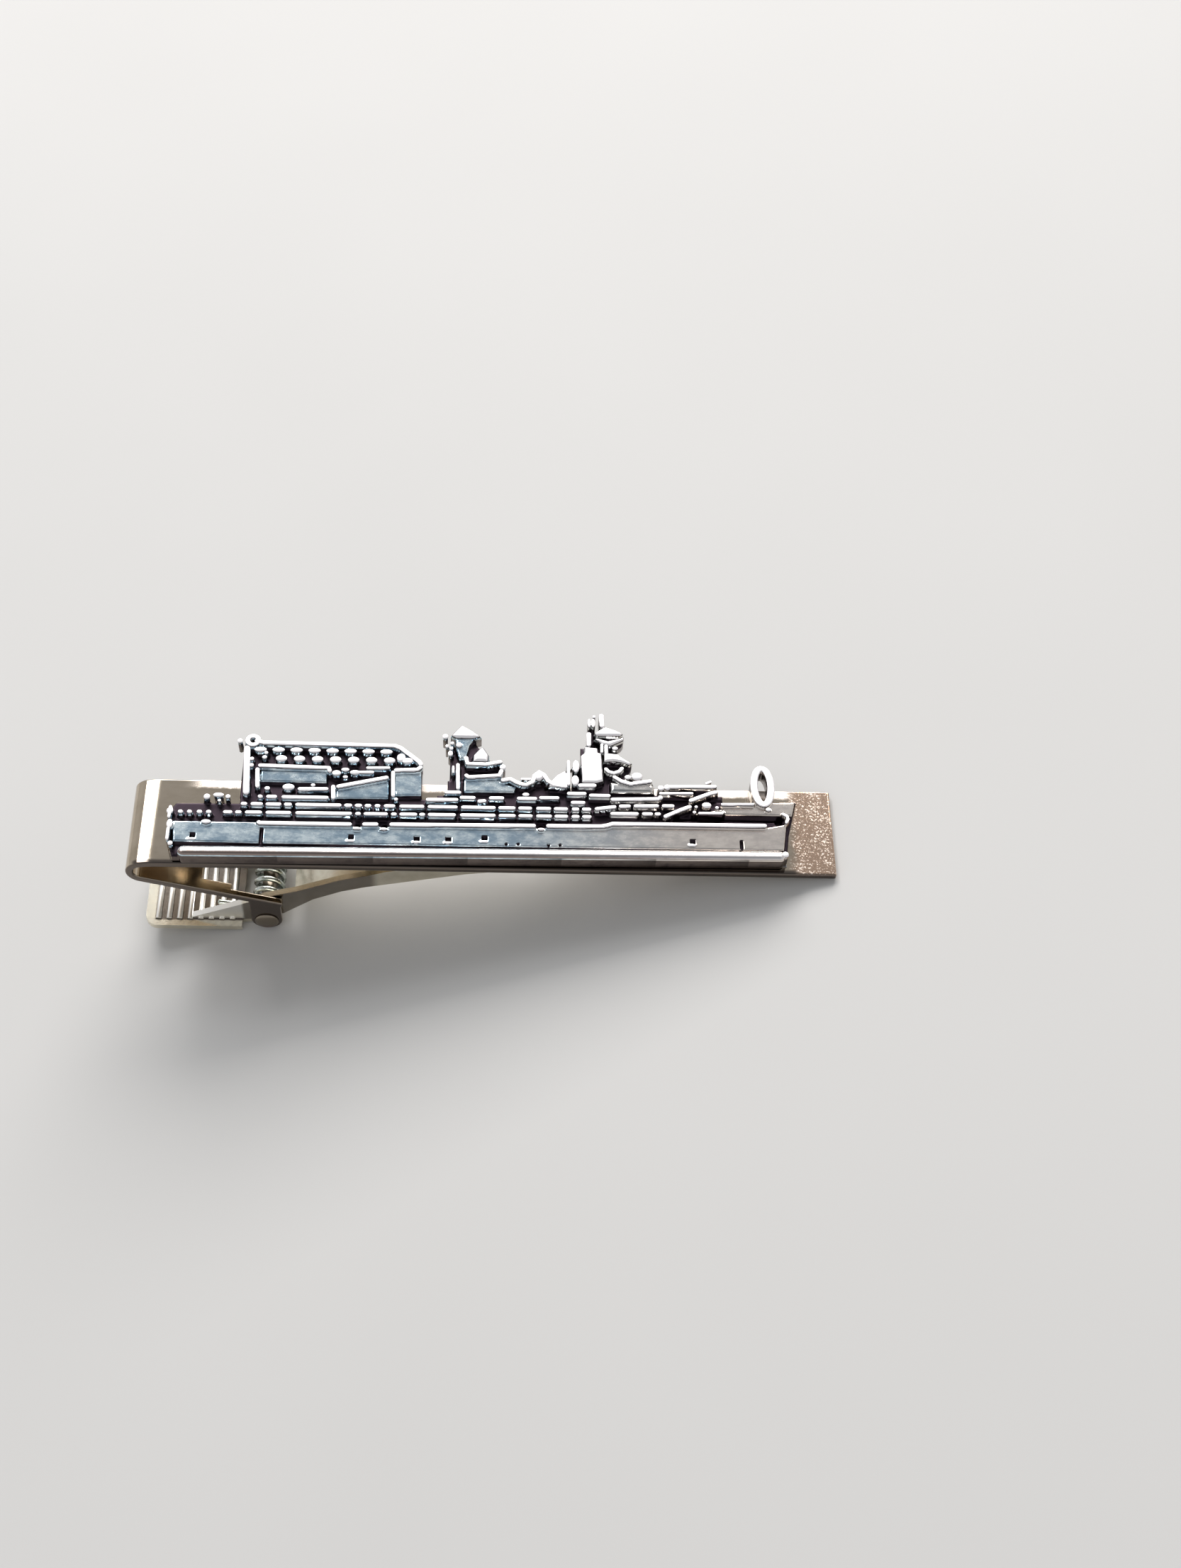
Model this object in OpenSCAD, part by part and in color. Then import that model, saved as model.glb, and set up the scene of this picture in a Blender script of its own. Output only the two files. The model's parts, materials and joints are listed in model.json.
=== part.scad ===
// Tie clip: a folded sprung strip with a cast ship relief on its front bar.
// X runs along the bar from the bend to the bare tail, Y across the bar towards the ship's
// masts, and Z out of the front face. The origin lies on the back face of the bar, on its
// centre line, above the middle of the jaw's toothed lips, where the tie is held.

/* [Strip] */
// Length of the front bar, over the bend
bar_l = 55.5; // [50:0.5:65]
// Width of the strip
bar_w = 7.9; // [7.2:0.1:9]
// Thickness of the strip
strip_t = 0.6; // [0.4:0.05:0.7]
// Outer radius of the bend at the left end
bend_r = 1.45; // [1.2:0.05:1.7]
// Angle between the bar and the rear arm
arm_angle = 19.3; // [17:0.1:21]
// Length of the closed web of the rear arm, from the bend's end
web_l = 5; // [4:0.1:6]
// Width of the rails beside the window of the rear arm
rail_w = 1.1; // [0.9:0.05:1.4]
// Radius of the ears round the pin
ear_r = 1.25; // [1.1:0.05:1.4]
// Depth of the rounded tongue that stands into the window
tongue_l = 0.8; // [0.4:0.1:1.2]

/* [Hinge] */
// Distance of the pin from the bend's end, along the bar
pin_x = 10.4; // [10:0.1:11]
// Distance of the pin below the back of the bar
pin_drop = 7.9; // [7.7:0.1:8.3]
// Radius of the pin
pin_r = 0.6; // [0.5:0.05:0.65]
// Radial running clearance of the pin in the lever's eyes
pin_run = 0.05; // [0.03:0.01:0.08]
// Radius of the pin's domed heads
head_r = 0.95; // [0.85:0.05:1.05]
// Height of the pin's domed heads
head_h = 0.3; // [0.2:0.05:0.4]
// Play between the ears and the walls of the lever
wall_play = 0.1; // [0.05:0.01:0.2]

/* [Lever] */
// Thickness of the lever's sheet
lever_t = 0.5; // [0.4:0.05:0.55]
// Distance of the thumb tab's edge from the bend's end
tab_inset = 0.5; // [0.2:0.1:1]
// Length of the thumb tab
tab_l = 7.8; // [7:0.1:8]
// Distance of the tab's underside below the back of the bar
tab_drop = 9.45; // [9.3:0.05:9.9]
// Radius of the tab's corners
tab_corner_r = 1; // [0.6:0.1:1.5]
// Distance from the tab's edge to the start of its walls
wall_start = 3.4; // [3:0.1:4]
// Distance between the ribs
rib_pitch = 0.85; // [0.75:0.05:0.9]
// Radius of the ribs and of the grooves under them
rib_r = 0.24; // [0.18:0.02:0.26]
// Distance from the tab's edge to the first rib
rib_start = 1.05; // [0.9:0.05:1.1]
// Least distance of the last rib from the tab's inner end
rib_end = 0.6; // [0.5:0.05:0.8]
// Distance between the ends of the ribs and the tab's long edges
rib_margin = 0.6; // [0.5:0.05:0.8]
// Radius of the eyes in the lever's walls
eye_r = 1.2; // [1.1:0.05:1.25]
// Length of the jaw, from the pin to its tip
jaw_l = 24.8; // [23:0.1:27]
// Width of the jaw at its tip
jaw_tip_w = 4.8; // [4:0.1:5.6]
// Gap between the jaw's lips and the bar when closed
jaw_gap = 0.1; // [0.05:0.01:0.2]
// Length of the toothed lips
lip_l = 9; // [7:0.5:11]
// Distance between the teeth
tooth_pitch = 0.9; // [0.7:0.05:1.2]
// Depth of the notches between the teeth
tooth_depth = 0.35; // [0.25:0.05:0.45]

/* [Spring] */
// Diameter of the spring wire
wire_d = 0.45; // [0.4:0.01:0.46]
// Distance between the turns of the coil
coil_pitch = 0.95; // [0.93:0.01:1]
// Radius of the coil at the middle of the wire
coil_r = 1.08; // [1.02:0.01:1.15]
// Whole turns of the coil between its two legs
coil_turns = 4; // [3:1:4]
// Reach of the leg on the rear arm, from the pin
arm_leg_l = 5.8; // [5:0.1:6.2]
// Length of the leg on the thumb tab, from the coil
tab_leg_l = 4; // [3.5:0.1:4.5]
// Gap between the legs and what they bear on
leg_gap = 0.05; // [0.03:0.01:0.1]

/* [Ship casting] */
// Distance of the stern from the bend's end
stern_gap = 3.3; // [3:0.1:5]
// Length of the bare tail of the bar beyond the bow
tail_l = 2.9; // [2:0.1:5]
// Height of the ship from its base moulding to its masthead
ship_h = 14; // [12.5:0.1:15]
// Inset of the base moulding from the bar's long edge
keel_inset = 0.3; // [0.1:0.05:0.5]
// Thickness of the solder between the bar and the casting
solder_t = 0.1; // [0.05:0.01:0.15]
// Inset of the solder from the casting's outline
solder_inset = 0.35; // [0.2:0.05:0.6]
// Thickness of the casting's low plate and open silhouettes
plate_t = 0.7; // [0.5:0.05:0.8]
// Thickness of the casting at the hull's side and the deck houses
hull_t = 1.1; // [0.95:0.05:1.2]
// Thickness of the casting at its rails, mouldings and domes
ridge_t = 1.45; // [1.3:0.05:1.7]
// Depth of the portholes and other pits in the hull's side
pit_depth = 0.3; // [0.2:0.05:0.35]

/* [Hidden] */
$fn = 48;
cut_over = 1;
silver = [0.78, 0.79, 0.8];
nickel = [0.8, 0.79, 0.74];
steel = [0.66, 0.67, 0.68];
tin = [0.6, 0.6, 0.62];

// Places along the clip, from the bend's outer end, and levels from the back of the bar.
grip_x = pin_x + jaw_l - lip_l / 2;
bend_x = bend_r;
bend_z = strip_t - bend_r;
bend_in_r = bend_r - strip_t;
arm_foot_x = bend_x - bend_r * sin(arm_angle);
arm_l = (pin_x + ear_r - arm_foot_x) / cos(arm_angle);
web_end_x = arm_foot_x + web_l * cos(arm_angle);
fork_x = pin_x - 2 * ear_r;
window_w = bar_w - 2 * rail_w;
fork_w = bar_w - 2 * strip_t;
lever_w = fork_w - 2 * wall_play;
pin_z = -pin_drop;
tab_z = -tab_drop;
tab_end_x = tab_inset + tab_l;
rib_count = 1 + floor((tab_l - rib_start - rib_end) / rib_pitch);
tip_x = pin_x + jaw_l;
lip_x = tip_x - lip_l;
tooth_count = floor(lip_l / tooth_pitch) - 1;
ship_l = bar_l - stern_gap - tail_l;
keel_y = keel_inset - bar_w / 2;
cast_z = strip_t + solder_t;

// Level of the arm's upper and lower faces at a place along the bar.
function arm_top(x) =
    bend_z - bend_in_r * cos(arm_angle) - (x - bend_x + bend_in_r * sin(arm_angle)) * tan(arm_angle);
function arm_under(x) = arm_top(x) - strip_t / cos(arm_angle);

// Side outline of the jaw, as shares of its length from the pin and of the pin's drop.
jaw_top_shares = [[0.1, 0.57], [0.246, 0.335], [0.39, 0.18], [0.58, 0.06]];
jaw_under_shares = [[1, 0.155], [0.64, 0.265], [0.326, 0.455], [0.246, 0.55], [0.153, 0.715], [0.088, 0.9]];
jaw_web_share = 0.088;
jaw_wide_share = 0.33;
shoulder_share = 0.72;
tooth_share = 0.7;

// Points of the ship, as shares of its length from the stern and of its height from the keel.
hull_shares = [
    [0.008, 0.05], [0, 0.3], [0.008, 0.345], [0.108, 0.35], [0.108, 0.4], [0.42, 0.4], [0.42, 0.43],
    [0.8, 0.43], [0.86, 0.415], [1, 0.425], [0.985, 0.2], [0.976, 0.05]
];
side_shares = [
    [0.012, 0.085], [0.004, 0.19], [0.12, 0.195], [0.125, 0.215], [0.7, 0.225], [0.71, 0.24],
    [0.98, 0.255], [0.974, 0.085]
];
moulding_shares = [0.012, 0.974, 0.027, 0.025];

// Each row is [start, end, lower edge, upper edge].
low_shares = [
    [0.105, 0.118, 0.39, 0.72], [0.118, 0.35, 0.39, 0.745], [0.35, 0.385, 0.39, 0.7],
    [0.38, 0.396, 0.39, 0.61], [0.435, 0.545, 0.42, 0.53], [0.438, 0.452, 0.42, 0.74],
    [0.448, 0.488, 0.52, 0.81], [0.46, 0.526, 0.52, 0.66], [0.54, 0.68, 0.42, 0.48],
    [0.574, 0.595, 0.47, 0.6], [0.626, 0.635, 0.47, 0.66], [0.637, 0.65, 0.47, 0.64],
    [0.651, 0.684, 0.42, 0.78], [0.68, 0.768, 0.42, 0.56], [0.663, 0.676, 0.75, 0.98],
    [0.681, 0.69, 0.75, 0.992],
    [0.768, 0.88, 0.42, 0.47], [0.775, 0.874, 0.475, 0.505], [0.775, 0.79, 0.44, 0.52]
];
house_shares = [
    [0.14, 0.245, 0.46, 0.57], [0.357, 0.393, 0.41, 0.56], [0.437, 0.544, 0.435, 0.515],
    [0.45, 0.486, 0.54, 0.8], [0.468, 0.522, 0.56, 0.62], [0.653, 0.682, 0.44, 0.74],
    [0.685, 0.765, 0.43, 0.49], [0.69, 0.76, 0.5, 0.555], [0.55, 0.65, 0.43, 0.465],
    [0.577, 0.593, 0.48, 0.59], [0.642, 0.653, 0.48, 0.63]
];
ridge_shares = [
    [0.12, 0.35, 0.742, 0.762], [0.105, 0.116, 0.4, 0.715], [0.12, 0.127, 0.4, 0.72],
    [0.135, 0.25, 0.57, 0.588], [0.25, 0.345, 0.578, 0.592], [0.345, 0.396, 0.578, 0.592],
    [0.135, 0.2, 0.445, 0.457], [0.21, 0.25, 0.445, 0.457], [0.252, 0.262, 0.4, 0.5],
    [0.346, 0.355, 0.4, 0.58], [0.457, 0.545, 0.52, 0.55], [0.463, 0.526, 0.608, 0.628],
    [0.463, 0.526, 0.645, 0.66], [0.448, 0.488, 0.765, 0.785], [0.439, 0.447, 0.43, 0.74],
    [0.7, 0.768, 0.49, 0.503], [0.775, 0.872, 0.478, 0.5], [0.775, 0.835, 0.437, 0.457],
    [0.68, 0.735, 0.61, 0.63], [0.886, 0.945, 0.395, 0.41]
];
ramp_shares = [[0.262, 0.41], [0.262, 0.49], [0.346, 0.56], [0.346, 0.41]];
ramp_edge_shares = [[0.262, 0.48], [0.262, 0.5], [0.346, 0.57], [0.346, 0.55]];
end_shares = [
    [0.346, 0.742], [0.346, 0.762], [0.36, 0.76], [0.396, 0.65],
    [0.396, 0.6], [0.388, 0.6], [0.386, 0.64], [0.356, 0.742]
];
cap_shares = [[0.438, 0.8], [0.444, 0.84], [0.457, 0.905], [0.472, 0.845], [0.491, 0.82], [0.491, 0.8]];
fin_shares = [[0.598, 0.47], [0.604, 0.6], [0.612, 0.59], [0.63, 0.47]];
bridge_shares = [
    [0.685, 0.55], [0.7, 0.6], [0.735, 0.6], [0.745, 0.58], [0.768, 0.56], [0.768, 0.54], [0.685, 0.54]
];
brace_shares = [[0.785, 0.29], [0.785, 0.305], [0.83, 0.38], [0.834, 0.365]];
brace_step_share = 0.042;
brace_rise_share = 0.1;

// Rounds, each as [place, height, radius, shift along the ship], the last three of its height.
dome_shares = [
    [0.12, 0.775, 0.045, 0], [0.12, 0.755, 0.022, -0.056], [0.18, 0.465, 0.03, 0],
    [0.438, 0.81, 0.022, -0.014], [0.49, 0.69, 0.055, 0], [0.528, 0.6, 0.022, 0],
    [0.528, 0.585, 0.022, 0.018], [0.643, 0.625, 0.035, 0], [0.667, 0.855, 0.03, 0],
    [0.584, 0.59, 0.03, 0]
];
// Radar platforms, each as [place, height, half length, half height].
radar_shares = [[0.7, 0.84, 0.023, 0.06], [0.711, 0.68, 0.023, 0.055]];
radar_slot_share = 0.3;
hoop_shares = [0.947, 0.53, 0.02, 0.15];
hoop_wall_share = 0.5;

// Rails along the deck, as [height, first dash, then the ends of the dashes].
rail_rise_share = 0.02;
rail_gap_share = 0.006;
hull_rail_shares = [0.205, 0.125, 0.29, 0.31, 0.33, 0.6, 0.7];
low_rail_shares = [
    0.265, 0.02, 0.045, 0.075, 0.105, 0.137, 0.175, 0.262, 0.29, 0.34, 0.4, 0.47, 0.53, 0.6, 0.64, 0.68
];
mid_rail_shares = [
    0.325, 0.11, 0.137, 0.175, 0.262, 0.28, 0.31, 0.355, 0.41, 0.47, 0.53, 0.57, 0.62, 0.67
];
top_rail_shares = [0.38, 0.13, 0.175, 0.245, 0.33, 0.42, 0.5, 0.55, 0.6, 0.65, 0.7];
fore_hull_rail_shares = [0.24, 0.71, 0.97];
fore_low_rail_shares = [0.285, 0.71, 0.74, 0.765, 0.785];
fore_mid_rail_shares = [0.335, 0.69, 0.73, 0.77, 0.8];
fore_top_rail_shares = [0.4, 0.7, 0.78];

// Portholes and pits in the hull's side, as places along the ship, and their common height.
port_shares = [0.033, 0.281, 0.387, 0.437, 0.494, 0.823];
port_rise_share = 0.11;
port_size_share = 0.022;
slit_shares = [0.905, 0.1, 0.055];
seam_shares = [0.144, 0.08, 0.125];
notch_shares = [0.297, 0.336, 0.585];
slot_shares = [0.775, 0.972, 0.268];
slot_end_share = 0.016;
pad_count = 8;
pad_shares = [0.135, 0.335, 0.7, 0.645];
pad_half_shares = [0.009, 0.02];
pad_stagger_share = 0.35;

// Spring geometry: where the legs leave the coil, worked out from what they bear on.
wire_r = wire_d / 2;
arm_leg_x = pin_x - arm_leg_l;
arm_leg_z = arm_under(arm_leg_x) - (wire_r + leg_gap) / cos(arm_angle);
bear_x = tab_inset + rib_start + (rib_count - 1) * rib_pitch;
bear_z = tab_z + lever_t + rib_r + wire_r + leg_gap;
arm_leg_d = norm([arm_leg_x - pin_x, arm_leg_z - pin_z]);
bear_d = norm([bear_x - pin_x, bear_z - pin_z]);
coil_from = atan2(arm_leg_z - pin_z, arm_leg_x - pin_x) - acos(coil_r / arm_leg_d);
coil_to = atan2(bear_z - pin_z, bear_x - pin_x) + acos(coil_r / bear_d);
coil_sweep = coil_from - coil_to + 360 * coil_turns;
coil_len = coil_pitch * coil_sweep / 360;
curl_rings = 8;
wire_sides = 6;
ring_count = ceil(curl_rings * coil_sweep / 360);

// Point of the coil's centre line at a share of its whole sweep.
function coil_point(s) =
    let (a = coil_from - s * coil_sweep)
    [pin_x + coil_r * cos(a), coil_len / 2 - s * coil_len, pin_z + coil_r * sin(a)];

arm_leg_tip = [arm_leg_x, coil_len / 2, arm_leg_z];
tab_leg_tip = coil_point(1) + tab_leg_l * unit([bear_x - coil_point(1).x, 0, bear_z - coil_point(1).z]);

// The wire's centre line: a leg, the coil and the other leg, with points along each leg.
function wire_path(rings, leg_points) = concat(
    [for (k = [0:leg_points - 1]) arm_leg_tip + (coil_point(0) - arm_leg_tip) * k / leg_points],
    [for (i = [0:rings]) coil_point(i / rings)],
    [for (k = [1:leg_points]) coil_point(1) + (tab_leg_tip - coil_point(1)) * k / leg_points]
);

function unit(v) = v / norm(v);

// Direction of the path at point i, from its neighbours.
function heading(path, i) =
    unit(path[min(i + 1, len(path) - 1)] - path[max(i - 1, 0)]);

// One ring of the wire, square to the path, turned from the pin's own direction.
function wire_ring(path, i) =
    let (
        h = heading(path, i),
        side = unit([0, 1, 0] - h * h.y),
        up = cross(h, side)
    )
    [
        for (k = [0:wire_sides - 1]) let (a = 360 * k / wire_sides)
            path[i] + wire_r * (side * cos(a) + up * sin(a))
    ];

// Least gap of the wire to itself, measured on points past half a turn along it.
function least_gap(path, skip) =
    min([for (i = [0:len(path) - 1]) for (j = [i + skip:1:len(path) - 1]) norm(path[i] - path[j])]) - wire_d;

gap_fine = 4;
gap_rings = gap_fine * ring_count;
echo(spring_least_gap_mm = least_gap(wire_path(gap_rings, gap_rings / gap_fine), gap_fine * curl_rings / 2));

// Moves a model drawn from the bend's end so that the grip comes to the origin.
module placed() {
    translate([-grip_x, 0, 0]) children();
}

// Stands an outline drawn in X and Z on the clip's centre plane, with a width across it.
module across(width) {
    translate([0, width / 2, 0]) rotate([90, 0, 0]) linear_extrude(width) children();
}

// Centre line section of the strip: bar, bend and rear arm.
module strip_section() {
    translate([bend_x, 0]) square([bar_l - bend_x, strip_t]);
    difference() {
        translate([bend_x, bend_z]) circle(bend_r);
        translate([bend_x, bend_z]) circle(bend_in_r);
        polygon([
            [bend_x, bend_z], [bend_x, strip_t + cut_over], [bar_l, strip_t + cut_over],
            [bar_l, arm_top(bar_l) - cut_over],
            [arm_foot_x - cut_over * sin(arm_angle), bend_z - (bend_r + cut_over) * cos(arm_angle)]
        ]);
    }
    translate([bend_x, bend_z]) rotate(-arm_angle) {
        translate([0, -bend_r]) square([arm_l, strip_t]);
        intersection() {
            circle(bend_r);
            translate([-strip_t / 2, -bend_r]) square([strip_t, strip_t]);
        }
    }
}

// Plan of the window in the rear arm, with its tongue and the wider fork at the ears.
module window_plan() {
    end_x = pin_x + ear_r + cut_over;
    difference() {
        translate([web_end_x, -window_w / 2]) square([end_x - web_end_x, window_w]);
        translate([web_end_x, 0]) scale([tongue_l, window_w / 4]) circle(1);
    }
    translate([fork_x, -fork_w / 2]) square([end_x - fork_x, fork_w]);
}

module ear_section() {
    translate([pin_x, pin_z]) circle(ear_r);
    polygon([
        [pin_x - ear_r, pin_z], [pin_x + ear_r, pin_z],
        [pin_x + ear_r, arm_top(pin_x + ear_r)], [pin_x - ear_r, arm_top(pin_x - ear_r)]
    ]);
}

module folded_strip() {
    color(nickel) placed() difference() {
        union() {
            difference() {
                across(bar_w) strip_section();
                translate([0, 0, pin_z]) linear_extrude(-pin_z - strip_t) window_plan();
            }
            for (side = [-1, 1])
                translate([0, side * (bar_w - strip_t) / 2, 0]) across(strip_t) ear_section();
        }
        translate([pin_x, 0, pin_z]) rotate([90, 0, 0])
            cylinder(h = bar_w + cut_over, r = pin_r, center = true);
    }
}

module solder_bed() {
    color(tin) placed()
        translate([stern_gap + solder_inset, keel_y + solder_inset, strip_t])
            cube([ship_l - 4 * solder_inset, hull_shares[1].y * ship_h - solder_inset, solder_t]);
}

module hinge_pin() {
    cap_r = (head_r * head_r + head_h * head_h) / (2 * head_h);
    color(steel) placed() translate([pin_x, 0, pin_z]) {
        rotate([90, 0, 0]) cylinder(h = bar_w, r = pin_r, center = true);
        for (side = [0, 1]) mirror([0, side, 0]) intersection() {
            translate([0, bar_w / 2 + head_h - cap_r, 0]) sphere(cap_r);
            translate([0, bar_w / 2 + head_h / 2, 0]) rotate([90, 0, 0])
                cylinder(h = head_h, r = head_r, center = true);
        }
    }
}

// Scales shares of the jaw into X and Z.
function jaw_points(shares) = [for (p = shares) [pin_x + p.x * jaw_l, -p.y * pin_drop]];

// Plan of the lever's jaw, set in from its outline by a given amount.
module jaw_plan(inset) {
    wide_x = pin_x + jaw_wide_share * jaw_l;
    side = [
        [tab_inset, lever_w / 2 - inset], [wide_x, lever_w / 2 - inset],
        [tip_x - jaw_tip_w / 4, jaw_tip_w / 2 - inset], [tip_x - inset, jaw_tip_w / 4 - inset / 2]
    ];
    polygon(concat(side, [for (i = [len(side) - 1:-1:0]) [side[i].x, -side[i].y]]));
}

module wall_section() {
    polygon(concat(
        [[tab_inset + wall_start, tab_z], [tab_inset + wall_start, tab_z + lever_t]],
        [[pin_x - eye_r, pin_z + eye_r * sqrt(2)], [pin_x, pin_z + eye_r * 2 * shoulder_share * sqrt(2)]],
        jaw_points(jaw_top_shares),
        [[lip_x, -jaw_gap], [tip_x, -jaw_gap]],
        jaw_points(jaw_under_shares),
        [[pin_x, pin_z - eye_r], [tab_end_x, tab_z]]
    ));
    translate([pin_x, pin_z]) circle(eye_r);
}

// Section of the jaw's web, which starts past the coil.
module web_section() {
    under = [for (p = jaw_points(jaw_under_shares)) if (p.x >= pin_x + jaw_web_share * jaw_l) p];
    polygon(concat(under, [for (i = [len(under) - 1:-1:0]) under[i] + [0, lever_t]]));
}

module tab_plan() {
    far_x = tab_inset + tab_corner_r;
    translate([far_x, -bar_w / 2]) square([tab_end_x - far_x, bar_w]);
    translate([tab_inset, tab_corner_r - bar_w / 2]) square([tab_corner_r, bar_w - 2 * tab_corner_r]);
    for (side = [-1, 1])
        translate([far_x, side * (bar_w / 2 - tab_corner_r)]) circle(tab_corner_r);
}

// Lays something along each rib of the tab.
module at_ribs() {
    for (i = [0:rib_count - 1])
        translate([tab_inset + rib_start + i * rib_pitch, 0, 0]) children();
}

module rib() {
    rotate([90, 0, 0]) cylinder(h = bar_w - 2 * rib_margin, r = rib_r, center = true);
}

module lever() {
    color(silver) placed() difference() {
        union() {
            translate([0, 0, tab_z]) linear_extrude(lever_t) tab_plan();
            intersection() {
                at_ribs() translate([0, 0, tab_z + lever_t]) rib();
                translate([0, -bar_w / 2, tab_z + lever_t / 2]) cube([tab_end_x, bar_w, lever_t]);
            }
            intersection() {
                across(bar_w) wall_section();
                translate([0, 0, -tab_drop - cut_over]) linear_extrude(tab_drop + cut_over) difference() {
                    jaw_plan(0);
                    translate([-lever_t, 0]) jaw_plan(lever_t);
                }
            }
            intersection() {
                across(bar_w) web_section();
                translate([0, 0, -tab_drop]) linear_extrude(tab_drop) jaw_plan(0);
            }
        }
        at_ribs() translate([0, 0, tab_z]) rib();
        translate([pin_x, 0, pin_z]) rotate([90, 0, 0])
            cylinder(h = bar_w, r = pin_r + pin_run, center = true);
        for (i = [1:tooth_count])
            translate([lip_x + i * tooth_pitch, 0, 0]) across(bar_w) polygon([
                [-tooth_share * tooth_pitch / 2, cut_over / 2], [-tooth_share * tooth_pitch / 2, -jaw_gap],
                [0, -jaw_gap - tooth_depth], [tooth_share * tooth_pitch / 2, -jaw_gap],
                [tooth_share * tooth_pitch / 2, cut_over / 2]
            ]);
    }
}

module torsion_spring() {
    path = wire_path(ring_count, 1);
    last = len(path) - 1;
    points = [for (i = [0:last]) each wire_ring(path, i)];
    sides = [
        for (i = [0:last - 1]) for (k = [0:wire_sides - 1])
            let (a = i * wire_sides, b = a + wire_sides, n = (k + 1) % wire_sides)
            each [[a + k, b + k, b + n], [a + k, b + n, a + n]]
    ];
    caps = [
        for (k = [1:wire_sides - 2]) [0, k, k + 1],
        for (k = [1:wire_sides - 2]) [last * wire_sides, last * wire_sides + k + 1, last * wire_sides + k]
    ];
    color(steel) placed() polyhedron(points, concat(sides, caps));
}

// Ship outlines in millimetres, from shares of its length and height.
function ship_point(p) = [p.x * ship_l, p.y * ship_h];

// Place of a round: its own point, shifted along the ship by a share of the height.
function dome_place(d) = ship_point(d) + [d[3] * ship_h, 0];

module ship_polygon(shares) {
    polygon([for (p = shares) ship_point(p)]);
}

module ship_blocks(rows) {
    for (r = rows)
        translate(ship_point([r[0], r[2]])) square(ship_point([r[1] - r[0], r[3] - r[2]]));
}

// Dashes of a rail: the first number is its height, the others the ends of its dashes.
module ship_rail(shares) {
    for (i = [1:len(shares) - 2])
        ship_blocks([[shares[i], shares[i + 1] - rail_gap_share, shares[0], shares[0] + rail_rise_share]]);
}

// A round-ended bar between two places, at a height, with a half thickness.
module ship_oval(x, y, half_l, half_h) {
    translate(ship_point([x, y])) scale([half_l * ship_l, half_h * ship_h]) circle(1);
}

// The open ring of the bow lead, as its outer ellipse without its inner one.
module bow_hoop() {
    difference() {
        ship_oval(hoop_shares[0], hoop_shares[1], hoop_shares[2], hoop_shares[3]);
        ship_oval(
            hoop_shares[0], hoop_shares[1],
            hoop_shares[2] * hoop_wall_share, hoop_shares[3] * (1 + hoop_wall_share) / 2
        );
    }
}

module low_outline() {
    ship_polygon(hull_shares);
    ship_blocks(low_shares);
    ship_polygon(cap_shares);
    ship_polygon(end_shares);
    ship_polygon(bridge_shares);
    ship_polygon(fin_shares);
    for (d = dome_shares) translate(dome_place(d)) circle(d[2] * ship_h);
    for (r = radar_shares) ship_oval(r[0], r[1], r[2], r[3]);
    bow_hoop();
}

module house_outline() {
    ship_polygon(side_shares);
    ship_blocks(house_shares);
    ship_polygon(ramp_shares);
    ship_polygon(bridge_shares);
}

// Raised pads of the crane's lattice, in two staggered rows.
module lattice_pads() {
    step = (pad_shares[1] - pad_shares[0]) / (pad_count - 1);
    for (i = [0:pad_count - 1]) for (row = [0, 1])
        ship_oval(
            pad_shares[0] + (i + row * pad_stagger_share) * step, pad_shares[2 + row],
            pad_half_shares[0], pad_half_shares[1]
        );
}

module ridge_outline() {
    ship_blocks(ridge_shares);
    ship_polygon(end_shares);
    ship_polygon(ramp_edge_shares);
    ship_polygon(fin_shares);
    ship_polygon(cap_shares);
    lattice_pads();
    for (i = [0, 1])
        translate(ship_point([i * brace_step_share, i * brace_rise_share])) ship_polygon(brace_shares);
    for (rail = [
        hull_rail_shares, low_rail_shares, mid_rail_shares, top_rail_shares,
        fore_hull_rail_shares, fore_low_rail_shares, fore_mid_rail_shares, fore_top_rail_shares
    ]) ship_rail(rail);
    for (d = dome_shares) translate(dome_place(d)) circle(d[2] * ship_h);
    for (r = radar_shares) difference() {
        ship_oval(r[0], r[1], r[2], r[3]);
        ship_oval(r[0], r[1], r[2] * (1 - radar_slot_share), r[3] * radar_slot_share);
    }
    bow_hoop();
}

// Pits that are pressed into the hull's side: portholes, the slit, the seam and the notches.
module pit_outline() {
    size = port_size_share * ship_h;
    for (x = port_shares)
        translate(ship_point([x, port_rise_share])) square([size, size]);
    for (x = notch_shares)
        translate(ship_point([x, hull_rail_shares[0] - port_size_share])) square([size, 2 * size]);
    translate(ship_point([slit_shares[0], slit_shares[1]])) square([size, slit_shares[2] * ship_h]);
    translate(ship_point([seam_shares[0], seam_shares[1]])) square([size / 2, seam_shares[2] * ship_h]);
    ship_blocks([[slot_shares[0], slot_shares[1], slot_shares[2], slot_shares[2] + slot_end_share]]);
    translate(ship_point([slot_shares[1], slot_shares[2]])) circle(slot_end_share * ship_h);
}

module ship_casting() {
    bead_r = moulding_shares[3] * ship_h;
    color(silver) placed() translate([stern_gap, keel_y, cast_z]) {
        linear_extrude(plate_t) low_outline();
        difference() {
            linear_extrude(hull_t) house_outline();
            translate([0, 0, hull_t - pit_depth]) linear_extrude(ridge_t) pit_outline();
        }
        linear_extrude(ridge_t) ridge_outline();
        translate([moulding_shares[0] * ship_l, moulding_shares[2] * ship_h, 0]) {
            translate([0, 0, ridge_t - bead_r]) rotate([0, 90, 0])
                cylinder(h = (moulding_shares[1] - moulding_shares[0]) * ship_l, r = bead_r);
            translate([0, -bead_r, 0])
                cube([(moulding_shares[1] - moulding_shares[0]) * ship_l, 2 * bead_r, ridge_t - bead_r]);
        }
    }
}

folded_strip();
solder_bed();
ship_casting();
hinge_pin();
lever();
torsion_spring();
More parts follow.
